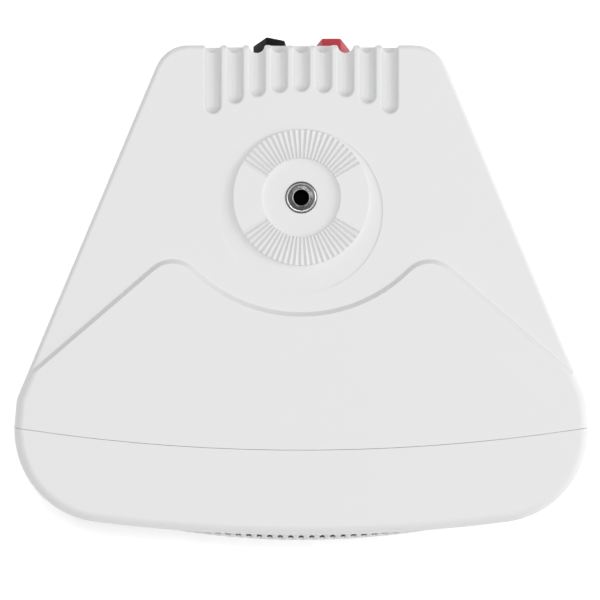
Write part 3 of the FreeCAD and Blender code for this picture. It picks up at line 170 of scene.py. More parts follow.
def makeTurnedGroup():
    # concentric marks of a lathe tool: Upright 1 for an axis along z, with Centre v as its y,
    # and 0 for an axis along y, with Centre v as its z
    starts = {"Centre x": 0.0, "Centre v": 0.0, "Upright": 1.0, "Rings per metre": 4000.0}
    tree, given, result = newGroup("turnedRings", starts, ["Height"])
    parts = addNode(tree, "ShaderNodeSeparateXYZ")
    tree.links.new(objectCoords(tree), parts.inputs[0])
    acrossY = maths(tree, "MULTIPLY", parts.outputs["Y"], given["Upright"])
    acrossZ = maths(tree, "MULTIPLY", parts.outputs["Z"], maths(tree, "SUBTRACT", 1.0, given["Upright"]))
    v = maths(tree, "SUBTRACT", maths(tree, "ADD", acrossY, acrossZ), given["Centre v"])
    u = maths(tree, "SUBTRACT", parts.outputs["X"], given["Centre x"])
    squares = maths(tree, "ADD", maths(tree, "MULTIPLY", u, u), maths(tree, "MULTIPLY", v, v))
    radius = maths(tree, "SQRT", squares)
    turns = maths(tree, "MULTIPLY", maths(tree, "MULTIPLY", radius, given["Rings per metre"]), 2 * math.pi)
    tree.links.new(maths(tree, "SINE", turns), result["Height"])
    return tree


def makeWeaveGroup():
    # plain weave in the x-z plane: threads passing over and under
    tree, given, result = newGroup("plainWeave", {"Threads per metre": 2200.0}, ["Height"])
    parts = addNode(tree, "ShaderNodeSeparateXYZ")
    tree.links.new(objectCoords(tree), parts.inputs[0])
    rate = maths(tree, "MULTIPLY", given["Threads per metre"], math.pi)
    warp = maths(tree, "SINE", maths(tree, "MULTIPLY", parts.outputs["X"], rate))
    weft = maths(tree, "SINE", maths(tree, "MULTIPLY", parts.outputs["Z"], rate))
    crossing = maths(tree, "MULTIPLY", warp, weft)
    tree.links.new(maths(tree, "MULTIPLY_ADD", crossing, 0.5, 0.5), result["Height"])
    return tree


grainGroup = makeGrainGroup()
handlingGroup = makeHandlingGroup()
turnedGroup = makeTurnedGroup()
weaveGroup = makeWeaveGroup()


def useGroup(tree, group, values=None):
    node = addNode(tree, "ShaderNodeGroup")
    node.node_tree = group
    for key, value in (values or {}).items():
        node.inputs[key].default_value = value
    return node.outputs


def bump(tree, shader, height, strength, depth):
    node = addNode(tree, "ShaderNodeBump", None, {"Strength": strength, "Distance": depth})
    tree.links.new(height, node.inputs["Height"])
    tree.links.new(node.outputs["Normal"], shader.inputs["Normal"])


def newFinish(name, **sockets):
    made = bpy.data.materials.new(name)
    made.use_nodes = True
    tree = made.node_tree
    shader = tree.nodes["Principled BSDF"]
    for key, value in sockets.items():
        shader.inputs[key.replace("_", " ")].default_value = value
    return made, tree, shader


def grey(level):
    return (level, level, level)


# how far a finish's roughness moves with its patches, rub marks and weave
roughnessDrift = {"patches": 0.08, "rubbed": -0.10, "turned": 0.12, "woven": -0.15}
plating = {"grains": 900.0, "patches": 160.0, "bump": 0.5}
cloth = {"grains": 3000.0, "sheen": 0.2, "sheenRoughness": 0.4, "coatRoughness": 0.35, "bump": 0.7}


def grainyFinish(name, dark, light, roughness, grains, depth, strength=0.4, marks=0.05, metal=0.0,
                 extra=None):
    # a finish whose shade drifts between dark and light, with a fine grain and a few rub marks
    made, tree, shader = newFinish(name, Metallic=metal, **(extra or {}))
    grain = useGroup(tree, grainGroup, {"Grains per metre": grains})
    rubbed = useGroup(tree, handlingGroup, {"Share": marks})
    tree.links.new(mixColour(tree, grain["Tint"], dark, light), shader.inputs["Base Color"])
    drift = roughnessDrift["patches"]
    patchy = maths(tree, "MULTIPLY_ADD", grain["Tint"], drift, roughness - drift / 2)
    worn = maths(tree, "MULTIPLY_ADD", rubbed["Mask"], roughnessDrift["rubbed"], patchy)
    tree.links.new(worn, shader.inputs["Roughness"])
    bump(tree, shader, grain["Height"], strength, depth * mm)
    return made


def turnedFinish(name, dark, light, roughness, centre, upright, rings, depth):
    # plated metal with the fine rings that a lathe leaves
    made, tree, shader = newFinish(name, Metallic=1.0)
    fine = {"Grains per metre": plating["grains"], "Patches per metre": plating["patches"]}
    grain = useGroup(tree, grainGroup, fine)
    tree.links.new(mixColour(tree, grain["Tint"], dark, light), shader.inputs["Base Color"])
    patchy = maths(tree, "MULTIPLY_ADD", grain["Tint"], roughnessDrift["turned"], roughness)
    tree.links.new(patchy, shader.inputs["Roughness"])
    marks = useGroup(tree, turnedGroup, {"Centre x": centre[0], "Centre v": centre[1],
                                         "Upright": 1.0 if upright else 0.0, "Rings per metre": rings})
    bump(tree, shader, marks["Height"], plating["bump"], depth * mm)
    return made


def wovenFinish(name, dark, light, roughness, threads, depth, coat=0.0):
    made, tree, shader = newFinish(name, Sheen_Weight=cloth["sheen"], Sheen_Roughness=cloth["sheenRoughness"],
                                   Coat_Weight=coat, Coat_Roughness=cloth["coatRoughness"])
    weave = useGroup(tree, weaveGroup, {"Threads per metre": threads})
    grain = useGroup(tree, grainGroup, {"Grains per metre": cloth["grains"]})
    shade = maths(tree, "MULTIPLY", weave["Height"], grain["Tint"])
    tree.links.new(mixColour(tree, shade, dark, light), shader.inputs["Base Color"])
    threaded = maths(tree, "MULTIPLY_ADD", weave["Height"], roughnessDrift["woven"], roughness)
    tree.links.new(threaded, shader.inputs["Roughness"])
    bump(tree, shader, weave["Height"], cloth["bump"], depth * mm)
    return made


shellLook = {
    "shadowed": (0.755, 0.757, 0.760), "lit": (0.800, 0.800, 0.802), "roughness": 0.47,
    "grainsPerMetre": 2600.0, "grainDepth": 0.010, "bump": 0.35, "marks": 0.06,
    "baffleBlackAndShade": (0.018, 0.018, 0.020), "paintMargin": 1.0, "paintBehind": 0.3, "faceplateThick": 3.0,
}
knobLook = {"roughness": 0.36, "grains": 1800.0, "depth": 0.004, "strength": 0.25, "marks": 0.10}


def makeWhitePlastic(name):
    return grainyFinish(name, shellLook["shadowed"], shellLook["lit"], shellLook["roughness"],
                        shellLook["grainsPerMetre"], shellLook["grainDepth"], shellLook["bump"],
                        shellLook["marks"])


def makeBezelFinish():
    # the same white plastic, with the face behind the grille painted matt black; the black is the baffle's
    # paint and also painted shade for the dark behind the grille's holes
    made = makeWhitePlastic("whiteBezelShadedBaffle")
    tree = made.node_tree
    shader = tree.nodes["Principled BSDF"]
    grilleLow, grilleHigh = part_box("grille")
    middle = (grilleLow + grilleHigh) / 2
    parts = addNode(tree, "ShaderNodeSeparateXYZ")
    tree.links.new(objectCoords(tree), parts.inputs[0])
    offX = maths(tree, "ABSOLUTE", parts.outputs["X"])
    offZ = maths(tree, "ABSOLUTE", maths(tree, "SUBTRACT", parts.outputs["Z"], middle.z))
    margin = shellLook["paintMargin"] * mm
    inside = maths(tree, "MULTIPLY", maths(tree, "LESS_THAN", offX, grilleHigh.x + margin),
                   maths(tree, "LESS_THAN", offZ, grilleHigh.z - middle.z + margin))
    paintedFrom = baffleFront() - shellLook["paintBehind"] * mm
    behind = maths(tree, "GREATER_THAN", parts.outputs["Y"], paintedFrom)
    painted = maths(tree, "MULTIPLY", inside, behind)
    plain = shader.inputs["Base Color"].links[0].from_socket
    tree.links.new(mixColour(tree, painted, plain, shellLook["baffleBlackAndShade"]), shader.inputs["Base Color"])
    return made


def baffleFront():
    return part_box("tweeter_faceplate")[0].y + shellLook["faceplateThick"] * mm


def finishKnob(name, dark, light, shine):
    return grainyFinish(name, dark, light, **knobLook, extra={"Specular_IOR_Level": shine})


insertCentre = (0.0, 0.0)
finishes = {
    "shell": makeWhitePlastic("whiteShell"),
    "bezel": makeBezelFinish(),
    "grille": grainyFinish("grillePowderCoat", (0.77, 0.77, 0.775), (0.82, 0.82, 0.822), roughness=0.42,
                           grains=1500.0, depth=0.012, strength=0.4),
    "foam": grainyFinish("closedCellFoam", grey(0.03), grey(0.07), roughness=0.9, grains=3500.0, depth=0.06,
                         strength=0.8),
    "nickel": turnedFinish("brightNickel", grey(0.44), grey(0.62), roughness=0.10, centre=insertCentre,
                           upright=True, rings=2600.0, depth=0.012),
    # knurl: dark painted shade on the insert's knurled collar, standing in for the shade in the gap round the
    # insert
    "knurl": grainyFinish("knurlShadePainted", grey(0.05), grey(0.14), roughness=0.55, grains=1200.0, depth=0.02,
                          metal=0.6),
    # bore: near-black painted shade for the insides of bores, socket floors and screw recesses
    "bore": grainyFinish("boreShadePainted", grey(0.001), grey(0.003), roughness=0.6, grains=900.0, depth=0.02,
                         extra={"Specular_IOR_Level": 0.02}),
    "zinc": grainyFinish("zincPlate", (0.50, 0.51, 0.54), (0.66, 0.67, 0.68), roughness=0.33, grains=1100.0,
                         depth=0.004, metal=1.0),
    "basket": grainyFinish("basketEnamel", (0.012, 0.012, 0.013), grey(0.03), roughness=0.42, grains=1400.0,
                           depth=0.02),
    "paper": grainyFinish("conePaper", (0.018, 0.018, 0.020), (0.05, 0.05, 0.053), roughness=0.80,
                          grains=1900.0, depth=0.05, strength=0.7),
    "rubber": grainyFinish("surroundRubber", grey(0.012), (0.026, 0.026, 0.027), roughness=0.52,
                           grains=2400.0, depth=0.008),
    "spider": wovenFinish("spiderCloth", (0.28, 0.18, 0.06), (0.62, 0.45, 0.20), roughness=0.75,
                          threads=1500.0, depth=0.12),
    "copper": turnedFinish("enamelledCopper", (0.45, 0.16, 0.07), (0.72, 0.33, 0.18), roughness=0.28,
                           centre=insertCentre, upright=False, rings=2500.0, depth=0.05),
    "ferrite": grainyFinish("ferrite", (0.03, 0.03, 0.034), (0.07, 0.07, 0.075), roughness=0.62,
                            grains=800.0, depth=0.05, strength=0.6),
    "plastic": grainyFinish("blackPlastic", (0.015, 0.015, 0.016), (0.03, 0.03, 0.031), roughness=0.5,
                            grains=2600.0, depth=0.012, strength=0.5),
    "silk": wovenFinish("coatedSilk", (0.015, 0.015, 0.018), (0.05, 0.05, 0.055), roughness=0.5,
                        threads=3400.0, depth=0.03, coat=0.3),
    "red": finishKnob("redKnobPlastic", (0.44, 0.016, 0.028), (0.52, 0.028, 0.040), shine=0.35),
    "black": finishKnob("blackKnobPlastic", (0.002, 0.002, 0.0025), (0.004, 0.004, 0.0045), shine=0.06),
    "board": grainyFinish("fibreBoard", (0.20, 0.11, 0.04), (0.36, 0.22, 0.09), roughness=0.7, grains=700.0,
                          depth=0.03, strength=0.5),
    "film": grainyFinish("capacitorFilm", (0.50, 0.36, 0.06), (0.62, 0.47, 0.12), roughness=0.28,
                         grains=300.0, depth=0.02, strength=0.3),
    "ceramic": grainyFinish("resistorCement", (0.66, 0.65, 0.59), (0.82, 0.81, 0.76), roughness=0.85,
                            grains=1300.0, depth=0.08, strength=0.8),
    "wadding": grainyFinish("waddingFibre", (0.70, 0.70, 0.66), (0.88, 0.88, 0.85), roughness=0.95,
                            grains=420.0, depth=0.9, strength=1.0, extra={"Sheen_Weight": 0.4}),
    "wire": grainyFinish("wireJacket", (0.30, 0.015, 0.015), (0.42, 0.03, 0.03), roughness=0.45,
                         grains=900.0, depth=0.01),
}
print("finishes made:", len(finishes))

nodeFinish = {
    "shell": ["rear_cabinet", "terminal_cup"], "bezel": ["front_bezel"], "grille": ["grille"],
    "foam": ["cabinet_gasket", "woofer_gasket"],
    "nickel": ["top_insert", "bottom_insert", "red_post", "black_post", "red_clamp_washer",
               "black_clamp_washer"],
    "zinc": ["baffle_screws", "woofer_screws", "tweeter_screws", "terminal_nuts", "terminal_cup_screws",
             "crossover_screws", "woofer_front_plate", "woofer_yoke", "tweeter_front_plate", "tweeter_yoke"],
    "basket": ["woofer_basket"], "paper": ["woofer_cone", "woofer_dust_cap"], "rubber": ["woofer_surround"],
    "spider": ["woofer_spider"],
    "copper": ["woofer_voice_coil", "tweeter_voice_coil", "crossover_coils"],
    "ferrite": ["woofer_magnet", "tweeter_magnet"],
    "plastic": ["tweeter_faceplate", "woofer_terminals", "tweeter_terminals"],
    "silk": ["tweeter_dome", "tweeter_surround"], "red": ["red_knob", "red_bush"],
    "black": ["black_knob", "black_bush"], "board": ["crossover_board"],
    "film": ["crossover_capacitors"], "ceramic": ["crossover_resistor"],
    "wadding": ["damping_wadding"], "wire": ["woofer_leads", "tweeter_leads", "terminal_leads"],
}
for finish, nodes in nodeFinish.items():
    for node in nodes:
        for slot in frame["nodes"][node].material_slots:
            slot.material = finishes[finish]
print("CAD nodes finished:", sum(len(nodes) for nodes in nodeFinish.values()))


# building pieces
weldGap = 0.0005


def meshObject(name, bm, *finishNames):
    mesh = bpy.data.meshes.new(name)
    bm.to_mesh(mesh)
    bm.free()
    for finish in finishNames:
        mesh.materials.append(finishes[finish])
    for polygon in mesh.polygons:
        polygon.use_smooth = True
    piece = bpy.data.objects.new(name, mesh)
    bpy.context.scene.collection.objects.link(piece)
    return piece


def addPiece(name, bm, finish, body, replaced=(), crease=32.0, others=()):
    bmesh.ops.remove_doubles(bm, verts=bm.verts, dist=weldGap * mm)
    bmesh.ops.recalc_face_normals(bm, faces=bm.faces)
    piece = meshObject(name, bm, finish, *others)
    piece.data.set_sharp_from_angle(angle=math.radians(crease))
    if body:
        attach(piece, body)
    if replaced:
        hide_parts(*replaced)
    return piece


def spun(outline, steps, closed=True):
    # a turned solid about z from an outline of (radius, height) in millimetres
    bm = bmesh.new()
    verts = [bm.verts.new((r * mm, 0, h * mm)) for r, h in outline]
    pairs = list(zip(verts, verts[1:] + verts[:1])) if closed else list(zip(verts, verts[1:]))
    edges = [bm.edges.new(pair) for pair in pairs if (pair[0].co - pair[1].co).length > 1e-9]
    bmesh.ops.spin(bm, geom=verts + edges, cent=(0, 0, 0), axis=(0, 0, 1), angle=2 * math.pi, steps=steps,
                   use_merge=True)
    bmesh.ops.remove_doubles(bm, verts=bm.verts, dist=weldGap * mm)
    return bm


def bowedArc(start, end, rise, steps):
    # points from start to end over an arc that rises by rise to the left of the way
    a, b = Vector(start), Vector(end)
    half = (b - a) / 2
    left = Vector((-half.y, half.x)).normalized()
    radius = (half.length ** 2 + rise ** 2) / (2 * rise)
    centre = a + half + left * (rise - radius)
    span = 2 * math.asin(half.length / abs(radius))
    turned = []
    for i in range(steps + 1):
        angle = span * (0.5 - i / steps)
        spoke = left * math.copysign(1, radius) @ Matrix.Rotation(-angle, 2)
        turned.append(tuple(centre + spoke * abs(radius)))
    return turned


# perforated grille: hexagonal cells, each with a round hole, laid flat, then bowed and folded
grilleSizes = {
    "pitch": 3.4, "hole": 2.1, "holeSides": 8, "sheet": 0.9, "corner": 17.4, "edge": 1.6, "bow": 262.0,
    "spareWide": 6.0, "spareTall": 15.0, "weld": 0.02,
}


def grilleCell():
    bm = bmesh.new()
    pitch = grilleSizes["pitch"] * mm
    bmesh.ops.create_circle(bm, segments=grilleSizes["holeSides"], radius=grilleSizes["hole"] / 2 * mm)
    bmesh.ops.create_circle(bm, segments=6, radius=pitch / math.sqrt(3))
    bmesh.ops.bridge_loops(bm, edges=bm.edges[:])
    return bm, pitch


def copyShifted(bm, geom, shift):
    copy = bmesh.ops.duplicate(bm, geom=geom)["geom"]
    bmesh.ops.translate(bm, verts=[v for v in copy if isinstance(v, bmesh.types.BMVert)], vec=shift)


def rowShift(row, pitch):
    # every other row of holes sits half a pitch across
    return pitch / 2 if row % 2 else 0.0


def laidOut(bm, pitch, wide, tall):
    rise = pitch * math.sqrt(3) / 2
    seed = bm.verts[:] + bm.edges[:] + bm.faces[:]
    across = int(wide / pitch) + 1
    for i in range(-across, across + 1):
        if i != 0:
            copyShifted(bm, seed, (i * pitch, 0, 0))
    row = bm.verts[:] + bm.edges[:] + bm.faces[:]
    up = int(tall / rise) + 1
    for j in range(-up, up + 1):
        if j != 0:
            copyShifted(bm, row, (rowShift(j, pitch), j * rise, 0))
    return rise


def nearestCell(spot, pitch, rise):
    row = round(spot.y / rise)
    best = None
    for j in (row - 1, row, row + 1):
        shift = rowShift(j, pitch)
        centre = Vector((round((spot.x - shift) / pitch) * pitch + shift, j * rise))
        if best is None or (centre - spot).length < (best - spot).length:
            best = centre
    return best


def makeGrille():
    low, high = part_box("grille")
    halfWide, halfTall = (high.x - low.x) / 2, (high.z - low.z) / 2
    middle = (high.z + low.z) / 2
    corner, edge, bow = (grilleSizes[k] * mm for k in ("corner", "edge", "bow"))
    coreX, coreZ, inset = halfWide - corner, halfTall - corner, corner - edge
    quarter = edge * math.pi / 2

    def folded(x, z):
        # a point of the flat sheet, wrapped over the rounded edge and down the fold
        qx, qz = max(abs(x) - coreX, 0.0), max(abs(z) - coreZ, 0.0)
        reach = math.hypot(qx, qz)
        past = reach - inset
        baseX, baseZ, back, sideX, sideZ = x, z, 0.0, 0.0, 0.0
        if past > 0:
            sideX, sideZ = math.copysign(qx / reach, x), math.copysign(qz / reach, z)
            baseX = math.copysign(min(abs(x), coreX), x) + sideX * inset
            baseZ = math.copysign(min(abs(z), coreZ), z) + sideZ * inset
            angle = min(past / edge, math.pi / 2)
            back = edge * (1 - math.cos(angle)) + max(past - quarter, 0.0)
            baseX += sideX * edge * math.sin(angle)
            baseZ += sideZ * edge * math.sin(angle)
        bowX = min(abs(baseX), halfWide - edge)
        front = low.y + bow - math.sqrt(bow ** 2 - bowX ** 2)
        return Vector((baseX, front + back, middle + baseZ))

    bm, pitch = grilleCell()
    spareWide, spareTall = grilleSizes["spareWide"] * mm, grilleSizes["spareTall"] * mm
    rise = laidOut(bm, pitch, halfWide + spareWide, halfTall + spareTall)
    gone = []
    for face in bm.faces:
        centre = nearestCell(face.calc_center_median().xy, pitch, rise)
        if folded(centre.x, centre.y).y > high.y - pitch / 2:
            gone.append(face)
    bmesh.ops.delete(bm, geom=gone, context="FACES")
    bmesh.ops.remove_doubles(bm, verts=bm.verts, dist=grilleSizes["weld"] * mm)
    for vert in bm.verts:
        vert.co = folded(vert.co.x, vert.co.y)
    bm.normal_update()
    if sum(f.normal.y for f in bm.faces) > 0:
        bmesh.ops.reverse_faces(bm, faces=bm.faces)
    piece = meshObject("perforatedGrille", bm, "grille")
    sheet = piece.modifiers.new("sheet", "SOLIDIFY")
    sheet.thickness = grilleSizes["sheet"] * mm
    sheet.offset = -1.0
    sheet.use_rim = True
    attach(piece, "cabinet")
    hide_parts("grille")
    return piece


grillePiece = makeGrille()
print("grille made:", len(grillePiece.data.polygons), "faces on one side")


# threaded inserts: countersunk mouth, bright rim, knurled collar and a threaded bore. The bore's walls and a
# disc closing its end are painted near black as the shade inside the hole, and the collar is painted dark as
# shade
insertSizes = {
    "bore": 2.5, "root": 2.95, "pitch": 1.0, "threads": 13, "threadStart": 1.2, "crest": (0.4, 0.55),
    "mouth": 4.3, "rim": 4.95, "knurl": 5.24, "knurlTop": 0.55, "knurlFoot": 0.9, "teeth": 40,
    "toothDeep": 0.2, "body": 4.7, "long": 15.0, "rise": 1.9, "steps": 176, "threadEnd": 0.6,
    "shadeDiscUp": 0.2, "shadeDiscSides": 24, "darkBelow": 0.35, "boreReach": 0.05, "rimReach": 0.01,
    # each edge as (outwards, upwards) steps from its own corner
    "boreEdge": ((0.0, -0.3), (0.12, 0.0), (0.3, 0.05)),
    "mouthEdge": ((-0.2, -0.35), (0.0, -0.05), (0.3, 0.0)),
    "rimEdge": ((-0.1, -0.12), (0.0, -0.35), (0.05, -0.5)),
}


def makeInsert(name, node, start, flip):
    s = insertSizes
    rise = s["rise"]
    outline = [(s["root"], -s["long"])]
    for i in range(s["threads"]):
        foot = -s["long"] + s["threadStart"] + i * s["pitch"]
        outline += [(s["root"], foot)] + [(s["bore"], foot + share * s["pitch"]) for share in s["crest"]]
    outline += [(s["root"], -s["threadEnd"])]
    outline += [(s["bore"] + r, h) for r, h in s["boreEdge"]]
    outline += [(s["mouth"] + r, rise + h) for r, h in s["mouthEdge"]]
    outline += [(s["rim"] + r, rise + h) for r, h in s["rimEdge"]]
    outline += [(s["knurl"], rise - s["knurlTop"]), (s["knurl"], rise - s["knurlFoot"]),
                (s["body"], rise - s["knurlFoot"]), (s["body"], -s["long"])]
    bm = spun(outline, s["steps"])
    for vert in bm.verts:
        radius = vert.co.xy.length
        if abs(radius - s["knurl"] * mm) < 0.001 * mm:
            angle = math.atan2(vert.co.y, vert.co.x)
            wave = 0.5 + 0.5 * math.cos(angle * s["teeth"])
            vert.co.xy *= 1 - s["toothDeep"] * mm * wave / radius
    for face in bm.faces:
        centre = face.calc_center_median()
        reach = centre.xy.length
        # bore walls deep in the hole take near-black painted shade; the collar beyond the rim takes a dark
        # painted shade
        if reach < (s["root"] + s["boreReach"]) * mm and centre.z < -s["darkBelow"] * mm:
            face.material_index = 1
        elif reach > (s["rim"] + s["rimReach"]) * mm:
            face.material_index = 2
    # a near-black disc closing the bore's end: painted shade at the bottom of the hole
    radius = s["root"] * mm
    shadeDisc = bmesh.ops.create_circle(bm, cap_ends=True, segments=s["shadeDiscSides"], radius=radius)["verts"]
    bmesh.ops.translate(bm, verts=shadeDisc, vec=(0, 0, -(s["long"] - s["shadeDiscUp"]) * mm))
    for face in {f for v in shadeDisc for f in v.link_faces}:
        face.material_index = 1
    turn = Matrix.Rotation(math.pi, 4, "X") if flip else Matrix.Identity(4)
    bmesh.ops.transform(bm, verts=bm.verts, matrix=Matrix.Translation((0, 0, start)) @ turn)
    return addPiece(name, bm, "nickel", "cabinet", [node], others=["bore", "knurl"])


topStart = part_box("top_insert")[1].z - insertSizes["rise"] * mm
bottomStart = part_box("bottom_insert")[0].z + insertSizes["rise"] * mm
makeInsert("topInsert", "top_insert", topStart, False)
makeInsert("bottomInsert", "bottom_insert", bottomStart, True)
print("inserts made")


# binding posts: a six-sided knob with softened edges, and a plug socket in its end
postSizes = {
    "tilt": 43.0, "sides": 6, "flats": 10.9, "start": 4.15, "tall": 14.2, "edge": 0.35, "end": 0.9,
    "blackTurn": 16.0, "socket": 2.1, "socketRim": 3.1, "socketSides": 48, "socketFloor": 0.02,
    "socketLip": 0.25, "socketProud": 0.4, "socketSoft": 0.2, "socketRoot": 0.5,
}


def postMatrix(colour):
    # the frame of a post: its z runs out along the axis, from the sloping face of the well
    joint = [j for j in frame["joints"] if j["name"] == colour + "_knob_turn"][0]
    turn = Matrix.Rotation(math.radians(-90.0 - postSizes["tilt"]), 4, "X")
    return Matrix.Translation(joint["pos_m"]) @ turn


def makeKnob(colour):
    s = postSizes
    bm = bmesh.new()
    halfSide = 180.0 / s["sides"]
    corner = s["flats"] / 2 / math.cos(math.radians(halfSide)) * mm
    bmesh.ops.create_cone(bm, cap_ends=True, segments=s["sides"], radius1=corner, radius2=corner,
                          depth=s["tall"] * mm)
    bmesh.ops.translate(bm, verts=bm.verts, vec=(0, 0, (s["start"] + s["tall"] / 2) * mm))
    top = (s["start"] + s["tall"]) * mm
    rim = [e for e in bm.edges if all(abs(v.co.z - top) < 1e-7 for v in e.verts)]
    bmesh.ops.bevel(bm, geom=rim, offset=s["end"] * mm, affect="EDGES", segments=1, profile=0.5, material=-1)
    bmesh.ops.bevel(bm, geom=bm.edges[:], offset=s["edge"] * mm, affect="EDGES", segments=3, profile=0.5,
                    material=-1)
    turn = math.radians(halfSide + (s["blackTurn"] if colour == "black" else 0.0))
    bmesh.ops.rotate(bm, verts=bm.verts, cent=(0, 0, 0), matrix=Matrix.Rotation(turn, 3, "Z"))
    bmesh.ops.transform(bm, verts=bm.verts, matrix=postMatrix(colour))
    return addPiece(colour + "Knob", bm, colour, colour + "_knob", [colour + "_knob"], crease=20.0)


def makeSocket(colour):
    # the metal sleeve in the knob's end that takes a plug; its floor sits just inside the rim and is painted
    # near black as the shade of a deep socket
    s = postSizes
    top = s["start"] + s["tall"]
    floor, proud, soft = top + s["socketFloor"], top + s["socketProud"], s["socketSoft"]
    outline = [(0.0, floor), (s["socket"], floor), (s["socket"], top + s["socketLip"]),
               (s["socket"] + soft, proud), (s["socketRim"] - soft, proud), (s["socketRim"], top + soft),
               (s["socketRim"], top - s["socketRoot"]), (0.0, top - s["socketRoot"])]
    bm = spun(outline, s["socketSides"], closed=False)
    # the socket floor takes the near-black bore finish: painted shade
    for face in bm.faces:
        centre = face.calc_center_median()
        if centre.xy.length < s["socket"] * mm and centre.z > top * mm:
            face.material_index = 1
    bmesh.ops.transform(bm, verts=bm.verts, matrix=postMatrix(colour))
    return addPiece(colour + "Socket", bm, "nickel", colour + "_knob", others=["bore"])


for colour in ("red", "black"):
    makeKnob(colour)
    makeSocket(colour)
print("binding posts made")


# cup screws: countersunk heads with a cross recess, drawn as thin near-black bars laid on the head: painted
# shade of the recess
screwSizes = {
    "head": 2.5, "shank": 1.25, "deep": 1.5, "crown": 0.06, "edge": 0.2, "edgeDrop": 0.05, "sides": 40,
    "recess": 1.3, "arm": 0.36, "armThick": 0.05, "turn": 20.0, "inset": 1.35,
}


def makeCupScrews():
    s = screwSizes
    low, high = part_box("terminal_cup_screws")
    inset = s["inset"] * mm
    outline = [(0, s["crown"]), (s["head"] - s["edge"], s["crown"]), (s["head"], -s["edgeDrop"]),
               (s["shank"], -s["deep"]), (0, -s["deep"])]
    size = Matrix.Diagonal((2 * s["recess"] * mm, 2 * s["arm"] * mm, s["armThick"] * mm, 1))
    lift = Matrix.Translation((0, 0, s["crown"] * mm))
    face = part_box("terminal_cup")[1].y
    bm = bmesh.new()
    for x in (low.x + inset, high.x - inset):
        for z in (low.z + inset, high.z - inset):
            head = spun(outline, s["sides"], closed=False)
            turn = Matrix.Translation((x, face, z)) @ Matrix.Rotation(math.radians(-90), 4, "X")
            bmesh.ops.transform(head, verts=head.verts, matrix=turn)
            part = bpy.data.meshes.new("head")
            head.to_mesh(part)
            head.free()
            bm.from_mesh(part)
            bpy.data.meshes.remove(part)
            for angle in (0.0, 90.0):
                bar = bmesh.ops.create_cube(bm, size=1.0)["verts"]
                spin = Matrix.Rotation(math.radians(angle + s["turn"]), 4, "Z")
                bmesh.ops.transform(bm, verts=bar, matrix=turn @ spin @ lift @ size)
                # the bars take the near-black bore finish: painted shade of the recess
                for side in {f for v in bar for f in v.link_faces}:
                    side.material_index = 1
    return addPiece("cupScrews", bm, "zinc", "cabinet", ["terminal_cup_screws"],
                    others=["bore"])


makeCupScrews()
print("cup screws made")


# woofer surround: a ribbed half roll that bends between the basket and the cone
surroundSizes = {
    "flangeOut": 60.8, "rollOut": 55.4, "rollIn": 46.9, "flap": 44.9, "front": 1.5, "sheet": 0.55,
    "rise": 4.0, "rollSteps": 14, "ribs": 48, "ribDeep": 0.16, "steps": 192,
}


def radialBlend(piece, centre, inner, outer):
    # the blend runs along the radius all round instead of along one line
    for item, vert in zip(piece.data.attributes["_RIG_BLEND"].data, piece.data.vertices):
        radius = math.hypot(vert.co.x - centre.x, vert.co.z - centre.z)
        share = min(max((outer - radius) / (outer - inner), 0.0), 1.0)
        item.value = share * share * (3 - 2 * share)


def makeSurround():
    s = surroundSizes
    coneLow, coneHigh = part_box("woofer_cone")
    centre = (coneLow + coneHigh) / 2
    front = -baffleFront() / mm + s["front"]
    top = [(s["flap"], front), (s["rollIn"], front)]
    top += bowedArc((s["rollIn"], front), (s["rollOut"], front), s["rise"], s["rollSteps"])[1:]
    top += [(s["flangeOut"], front)]
    under = [(r, h + s["sheet"]) for r, h in top]
    outline = top + under[::-1]
    bm = spun(outline, s["steps"])
    for vert in bm.verts:
        radius = vert.co.xy.length / mm
        share = (radius - s["rollIn"]) / (s["rollOut"] - s["rollIn"])
        if 0 < share < 1:
            angle = math.atan2(vert.co.y, vert.co.x)
            vert.co.z += s["ribDeep"] * mm * math.sin(math.pi * share) * math.cos(angle * s["ribs"])
    turn = Matrix.Translation((centre.x, 0, centre.z)) @ Matrix.Rotation(math.radians(90), 4, "X")
    bmesh.ops.transform(bm, verts=bm.verts, matrix=turn)
    piece = addPiece("wooferSurround", bm, "rubber", None, ["woofer_surround"])
    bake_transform(piece, "cabinet", "woofer_diaphragm", start=(centre.x + s["rollOut"] * mm, 0, centre.z),
             end=(centre.x + s["rollIn"] * mm, 0, centre.z))
    radialBlend(piece, centre, s["rollIn"] * mm, s["rollOut"] * mm)
    return piece


makeSurround()
print("surround made")


# damping wadding: a fibrous pad, thick in the middle and loose at its edges
waddingSizes = {
    "cuts": 5, "lumps": 55.0, "lumpDeep": 2.2, "inset": 2.4, "thinning": 0.22, "thinPower": 6,
    "smoothing": 0.5, "crease": 80.0,
}


def makeWadding():
    s = waddingSizes
    low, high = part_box("damping_wadding")
    bm = bmesh.new()
    bmesh.ops.create_cube(bm, size=1.0)
    bmesh.ops.subdivide_edges(bm, edges=bm.edges, cuts=2 ** s["cuts"] - 1, use_grid_fill=True)
    room = (high - low) / 2 - Vector((s["inset"],) * 3) * mm
    centre = (low + high) / 2
    for vert in bm.verts:
        spot = vert.co * 2
        edgewards = abs(spot.x) ** s["thinPower"] + abs(spot.z) ** s["thinPower"]
        pull = 1 - s["thinning"] * edgewards / 2
        place = Vector((spot.x * room.x, spot.y * room.y * pull, spot.z * room.z))
        lump = noise.noise((centre + place) * s["lumps"])
        vert.co = centre + place + spot.normalized() * lump * s["lumpDeep"] * mm
    bmesh.ops.smooth_vert(bm, verts=bm.verts, factor=s["smoothing"], use_axis_x=True, use_axis_y=True,
                          use_axis_z=True)
    piece = addPiece("waddingPad", bm, "wadding", "cabinet", ["damping_wadding"],
                     crease=s["crease"])
    return piece


makeWadding()
print("wadding made")


